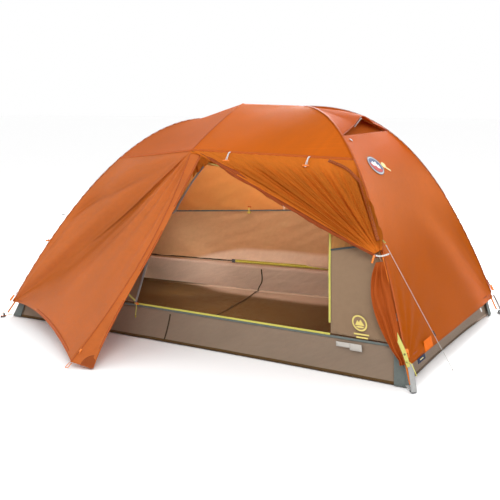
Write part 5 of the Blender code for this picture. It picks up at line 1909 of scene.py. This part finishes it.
def make_toggles():
    brow = line(brow_end(FRONT), brow_corner(HEAD, FRONT))
    for share, name in ((0.245, "left"), (0.735, "right")):
        hang = brow(share) + Vector((0.004, -0.018, -0.004))
        bar_toggle(f"brow_{name}", hang, (0.0, -0.024, -0.031), (0.95, 0.20, 0), 0.030,
                   f"brow_toggle_{name}", f"brow_toggle_{name}")
        sewn = brow(share) + Vector((0.004, -0.004, 0.002))
        ribbon(f"brow_tab_{name}", line(sewn, hang + Vector((0, 0.0014, 0.001))),
               (1, 0.2, 0), 0.008, "elastic", 0.0012, 8)
    leg = leg_skin(TAIL, FRONT, 0.742) + Vector((-0.014, -0.012, 0.010))
    bar_toggle("leg_left", leg, (-0.002, -0.004, -0.030), (0.3, 0.95, 0), 0.030,
               "leg_toggle_left", "leg_toggle_left")
    skin = leg_skin(TAIL, FRONT, 0.742)
    ribbon("leg_tab_left", line(skin + Vector((0.0, -0.003, 0.004)), leg),
           (0.3, 0.95, 0), 0.008, "elastic", 0.0012, 8)
    tie = tie_point()
    hold = tie + Vector((-0.034, -0.021, 0.004))
    bar_toggle("tie", hold, (-0.004, -0.004, -0.016), (-0.25, -0.05, -0.97), 0.034,
               "tie_toggle", "tie_toggle", 0.003)
    ring = [tie + Vector((0.020, 0.004, 0.010)), tie + Vector((0.008, -0.012, 0.006)),
            tie + Vector((-0.012, -0.020, 0.002)), tie + Vector((-0.0285, -0.0215, 0.004))]
    for k, lift in enumerate((0.0018, -0.0018)):
        sweep(f"tie_cord_{k}", [p + Vector((0, 0, lift)) for p in smooth_path(ring, 30)], 0.0015,
              "elastic", 10, replaces=("tie_elastic",) if k == 0 else ())


def webbing_loop(name, base, tip, width, material, node=(), body="tent",
                 across=(0, 0, 1)):
    """Tape folded back on itself, sewn at base, open at the tip."""
    base, tip = Vector(base), Vector(tip)
    way = (tip - base).normalized()
    normal = way.cross(Vector(across)).normalized()
    half = 0.0022
    path = []
    for i in range(9):
        path.append(base.lerp(tip, i / 8 * 0.9) + normal * half * (0.3 + 0.7 * i / 8))
    for i in range(1, 8):
        a = math.pi * i / 8
        path.append(base.lerp(tip, 0.9) + way * (math.sin(a) * 0.1 * (tip - base).length)
                    + normal * half * math.cos(a))
    for i in range(9):
        path.append(base.lerp(tip, 0.9 * (1 - i / 8)) - normal * half * (1 - 0.7 * i / 8))
    at = path_function(path)
    return ribbon(name, at, across, width, material, 0.0010, 60, body,
                  node)


def make_loops():
    start, _ = guy_line()
    for end, name in ((HEAD, "right"), (TAIL, "left")):
        if end == HEAD:
            base = leg_skin(end, FRONT, 0.745) + Vector((0.004, -0.007, 0.012))
            tip = start + Vector((-0.003, 0.002, 0.006))
        else:
            base = leg_skin(end, FRONT, 0.660) + Vector((-0.003, -0.003, 0.004))
            tip = base + Vector((-0.028, -0.010, -0.004))
        webbing_loop(f"guy_tab_{name}", base, tip, 0.009,
                     "lime_tape" if end == HEAD else "webbing", (f"guy_loop_{name}",),
                     across=(0.5, -0.8, 0.3) if end == HEAD else (0.2, 0.9, 0.3))
    for side, name in ((FRONT, "front"), (REAR, "rear")):
        corner = stake_point(side) + Vector((0, side * 0.004, -0.004))
        reach = corner + Vector((-0.004, side * 0.020, -0.016))
        loop = [corner + Vector((-0.006, 0, 0)), reach + Vector((-0.008, 0, 0)), reach,
                reach + Vector((0.006, -side * 0.004, 0.002)), corner + Vector((0.006, 0, 0))]
        sweep(f"peg_loop_{name}", smooth_path(loop, 40), 0.0016, "orange_web", 10,
              body=f"leaf_{name}_left", replaces=(f"stake_loop_{name}",),
              up=(1, 0, 0))


def make_guy():
    start, anchor = guy_line()
    points = [start.lerp(anchor, i / 60) for i in range(61)]
    cord = sweep("guyline", points, 0.0011, "cord", 10, replaces=("guy_cord",))
    heading = (anchor - start).normalized()
    seat = start.lerp(anchor, 0.70)
    offset = heading.to_track_quat("Z", "Y") @ Vector((0, 0.0045, 0))
    solid("guy_slider", [
        ("box", (0, -0.0004, 0), (0.0100, 0.0034, 0.0255), None),
        ("box", (0, 0.0016, 0.0085), (0.0096, 0.0014, 0.0030), None),
        ("box", (0, 0.0016, -0.0085), (0.0096, 0.0014, 0.0030), None),
        ("ring", (0, 0.0014, 0), (0.0026, 0.0008), (0, 1, 0))],
        "black", aimed(seat + offset, heading), "guy_tensioner",
        ("guy_tensioner",), 0.0006)
    loop = solid("guy_ground_knot", [
        ("rod", (0, 0, 0), (0.0021, 0.0024, 0.0070), heading)],
        "cord", Matrix.Translation(anchor - heading * 0.004), bevel=0.0003)
    top = solid("guy_top_knot", [("rod", (0, 0, 0), (0.0024, 0.0021, 0.0065), heading)],
                "cord", Matrix.Translation(start + heading * 0.008), bevel=0.0003)


def make_slider():
    """Slider at the foot of the front leaf's zip."""
    seam = door_seam(FRONT)
    spot = seam(0.055) + Vector((0.010, -0.0125, 0.0))
    heading = (seam(0.10) - seam(0.01)).normalized()
    solid("leaf_zip_slider", [
        ("box", (0, 0, 0), (0.0090, 0.0042, 0.0150), None),
        ("box", (0, -0.0028, 0.002), (0.0050, 0.0014, 0.0070), None),
        ("rod", (0, -0.0032, -0.0085), (0.0016, 0.0016, 0.0130), (0, 0, 1))],
        "orange", aimed(spot, heading), "vestibule_zip_slider",
        ("vestibule_zip_slider",))


# ---------------------------------------------------------------- patches and prints
def decal(name, points, material, surface_point, normal, lift):
    """Flat patch with an outline in the cloth's own (across, up) plane."""
    centre = [sum(values) / len(points) for values in zip(*points)]
    verts = [surface_point(a, b) + normal * lift for a, b in [*points, centre]]
    n = len(points)
    faces = [(i, (i + 1) % n, n) for i in range(n)]
    flat = [*points, (0.0, 0.0)]
    data = uv_mesh(name, verts, faces, [flat[i] for face in faces for i in face])
    obj = link(name, data, material)
    thicken(obj, CLOTH_THICKNESS)
    return dress(obj, "tent")


def ellipse(wide, tall, count=40, turn=0.0, centre=(0, 0)):
    out = []
    for i in range(count):
        a = 2 * math.pi * i / count
        x, y = wide * math.cos(a), tall * math.sin(a)
        out.append((centre[0] + x * math.cos(turn) - y * math.sin(turn),
                    centre[1] + x * math.sin(turn) + y * math.cos(turn)))
    return out


def make_patches():
    """Plain woven badge and prints, without any name."""
    base_s, base_u = 0.550, 0.28

    bulge = panel_relief(0.4)

    def on_sheet(s, u, lift=0.0):
        """Place on the head panel's own cloth, wrinkles included."""
        p = head_point(s, u, 0.0)
        v = (HEM_S - s) / (HEM_S - VENT_S)
        return p + head_normal(s) * (bulge(u, max(v, 0.0), p) + lift)

    def middle_of(s):
        return leg_skin(HEAD, FRONT, s).lerp(leg_skin(HEAD, REAR, s), 0.5)
    width = (leg_skin(HEAD, REAR, base_s) - leg_skin(HEAD, FRONT, base_s)).length
    height = (middle_of(base_s + 0.01) - middle_of(base_s)).length / 0.01
    out = head_normal(base_s)

    def on_panel(a, b):
        return on_sheet(base_s - b / height, base_u + a / width)
    tilt, middle = -0.41, (0.0235, -0.001)

    def turned(points):
        return [(middle[0] + x * math.cos(tilt) - y * math.sin(tilt),
                 middle[1] + x * math.sin(tilt) + y * math.cos(tilt)) for x, y in points]
    layers = [("badge_rim", 0.0800, 0.0436, "badge_dark", 0.0020),
              ("badge_border", 0.0768, 0.0404, "badge_silver", 0.0026),
              ("badge_field", 0.0690, 0.0330, "badge_blue", 0.0032)]
    for name, wide, tall, material, lift in layers:
        decal(name, turned(ellipse(wide, tall, 56)), material, on_panel, out, lift)
    lower = [(x, y) for x, y in ellipse(0.0670, 0.0312, 72) if y <= -0.004]
    decal("badge_lower", turned(lower), "badge_red", on_panel, out, 0.0038)
    peaks = [(-0.048, -0.005), (-0.030, 0.012), (-0.018, 0.004), (0.000, 0.021), (0.018, 0.003),
             (0.028, 0.010), (0.048, -0.005), (0.020, -0.010), (0.0, -0.004), (-0.022, -0.011)]
    decal("badge_peaks", turned(peaks), "badge_white", on_panel, out, 0.0044)
    decal("panel_print_round", ellipse(0.022, 0.014, 28, -0.41, (0.120, -0.008)), "print_pale",
          on_panel, out, 0.0020)
    decal("panel_print_bar", [(0.134, -0.018), (0.172, -0.040), (0.169, -0.047),
                              (0.131, -0.027)], "print_pale", on_panel, out, 0.0020)

    # small tape on the hem near the front corner: orange reinforcement and a dark label
    def hem_tape(name, low_u, high_u, s_mid, tall, material, lift):
        rows = []
        for j in range(7):
            s = s_mid + tall * (0.5 - j / 6)
            rows.append([on_sheet(s, low_u + (high_u - low_u) * i / 10, lift)
                         for i in range(11)])
        flat_piece(name, rows, material, 0.0007)
    edge = HEM_S + END_DROP * (HEM_S - VENT_S)
    hem_tape("hem_patch_orange", 0.160, 0.240, edge - 0.0095, 0.017, "hem_patch", 0.0026)
    hem_tape("hem_label", 0.078, 0.150, edge + 0.0030, 0.0075, "navy", 0.0030)
    hem_tape("hem_label_stripe", 0.100, 0.130, edge + 0.0030, 0.0012, "print_pale", 0.0038)
    hem_tape("hem_tab_rear", 0.798, 0.812, edge + 0.0040, 0.0080, "elastic", 0.0030)


def make_wall_marks():
    """Round emblem with two bars, and two pale care labels, on the lower front wall."""
    step = 0.01

    def place(x, z):
        """The wall's own (u, w) at an x and a height, closed in on step by step."""
        spot = wall_share(x, z)
        u, w = spot.x, spot.y
        for _ in range(12):
            p = WALL(u, w)
            du = (WALL(u + step, w) - p).x / step
            dw = (WALL(u, w + step) - p).z / step
            u += (x - p.x) / du * 0.8
            w += (z - p.z) / dw * 0.8
        return u, w
    u0, w0 = place(0.892, 0.226)
    p, beside, above = WALL(u0, w0), WALL(u0 + step, w0), WALL(u0, w0 + step)
    du, dw = (beside - p).length / step, (above - p).length / step
    normal = (beside - p).cross(above - p).normalized()

    def patch(name, shape, material, lift):
        decal(name, shape, material, lambda a, b: WALL(u0 + a / du, w0 + b / dw), normal,
              lift)
    patch("emblem_disc", ellipse(0.034, 0.034, 40), "print_yellow", 0.0072)
    patch("emblem_field", ellipse(0.027, 0.027, 36), "inner", 0.0079)
    patch("emblem_peak", [(-0.021, -0.010), (-0.008, 0.012), (-0.002, 0.003), (0.007, 0.016),
                          (0.021, -0.010)], "print_yellow", 0.0087)
    patch("emblem_ring", ellipse(0.0175, 0.004, 24, 0, (0, -0.0165)), "print_yellow", 0.0087)
    for k, (half, middle) in enumerate(((0.034, -0.047), (0.026, -0.060))):
        low, high = middle - 0.0032, middle + 0.0032
        patch(f"emblem_bar_{k}", [(-half, low), (half, low), (half, high), (-half, high)],
              "print_yellow", 0.0072)

    def label(name, x0, x1, low, high, lift):
        left, right = tub_top(TAIL, FRONT), tub_top(HEAD, FRONT)
        rows = []
        for j in range(4):
            row = []
            for i in range(7):
                share = (x0 + (x1 - x0) * i / 6 - left.x) / (right.x - left.x)
                base = blend_corners(floor_corner, share, 0.0)
                base.y += 0.020 * 4 * share * (1 - share)
                rise = (low + (high - low) * j / 3) / TUB_HEIGHT
                row.append(base.lerp(left.lerp(right, share), rise)
                           + Vector((0, -0.0075 - lift, 0)))
            rows.append(row)
        flat_piece(name, rows, "label_grey", 0.0006)
    label("care_label_a", 0.790, 0.862, 0.122, 0.142, 0.0)
    label("care_label_b", 0.852, 0.908, 0.114, 0.143, 0.0012)

make_frame()
make_corner_gear()
make_toggles()
make_loops()
make_guy()
make_slider()
make_patches()
make_wall_marks()
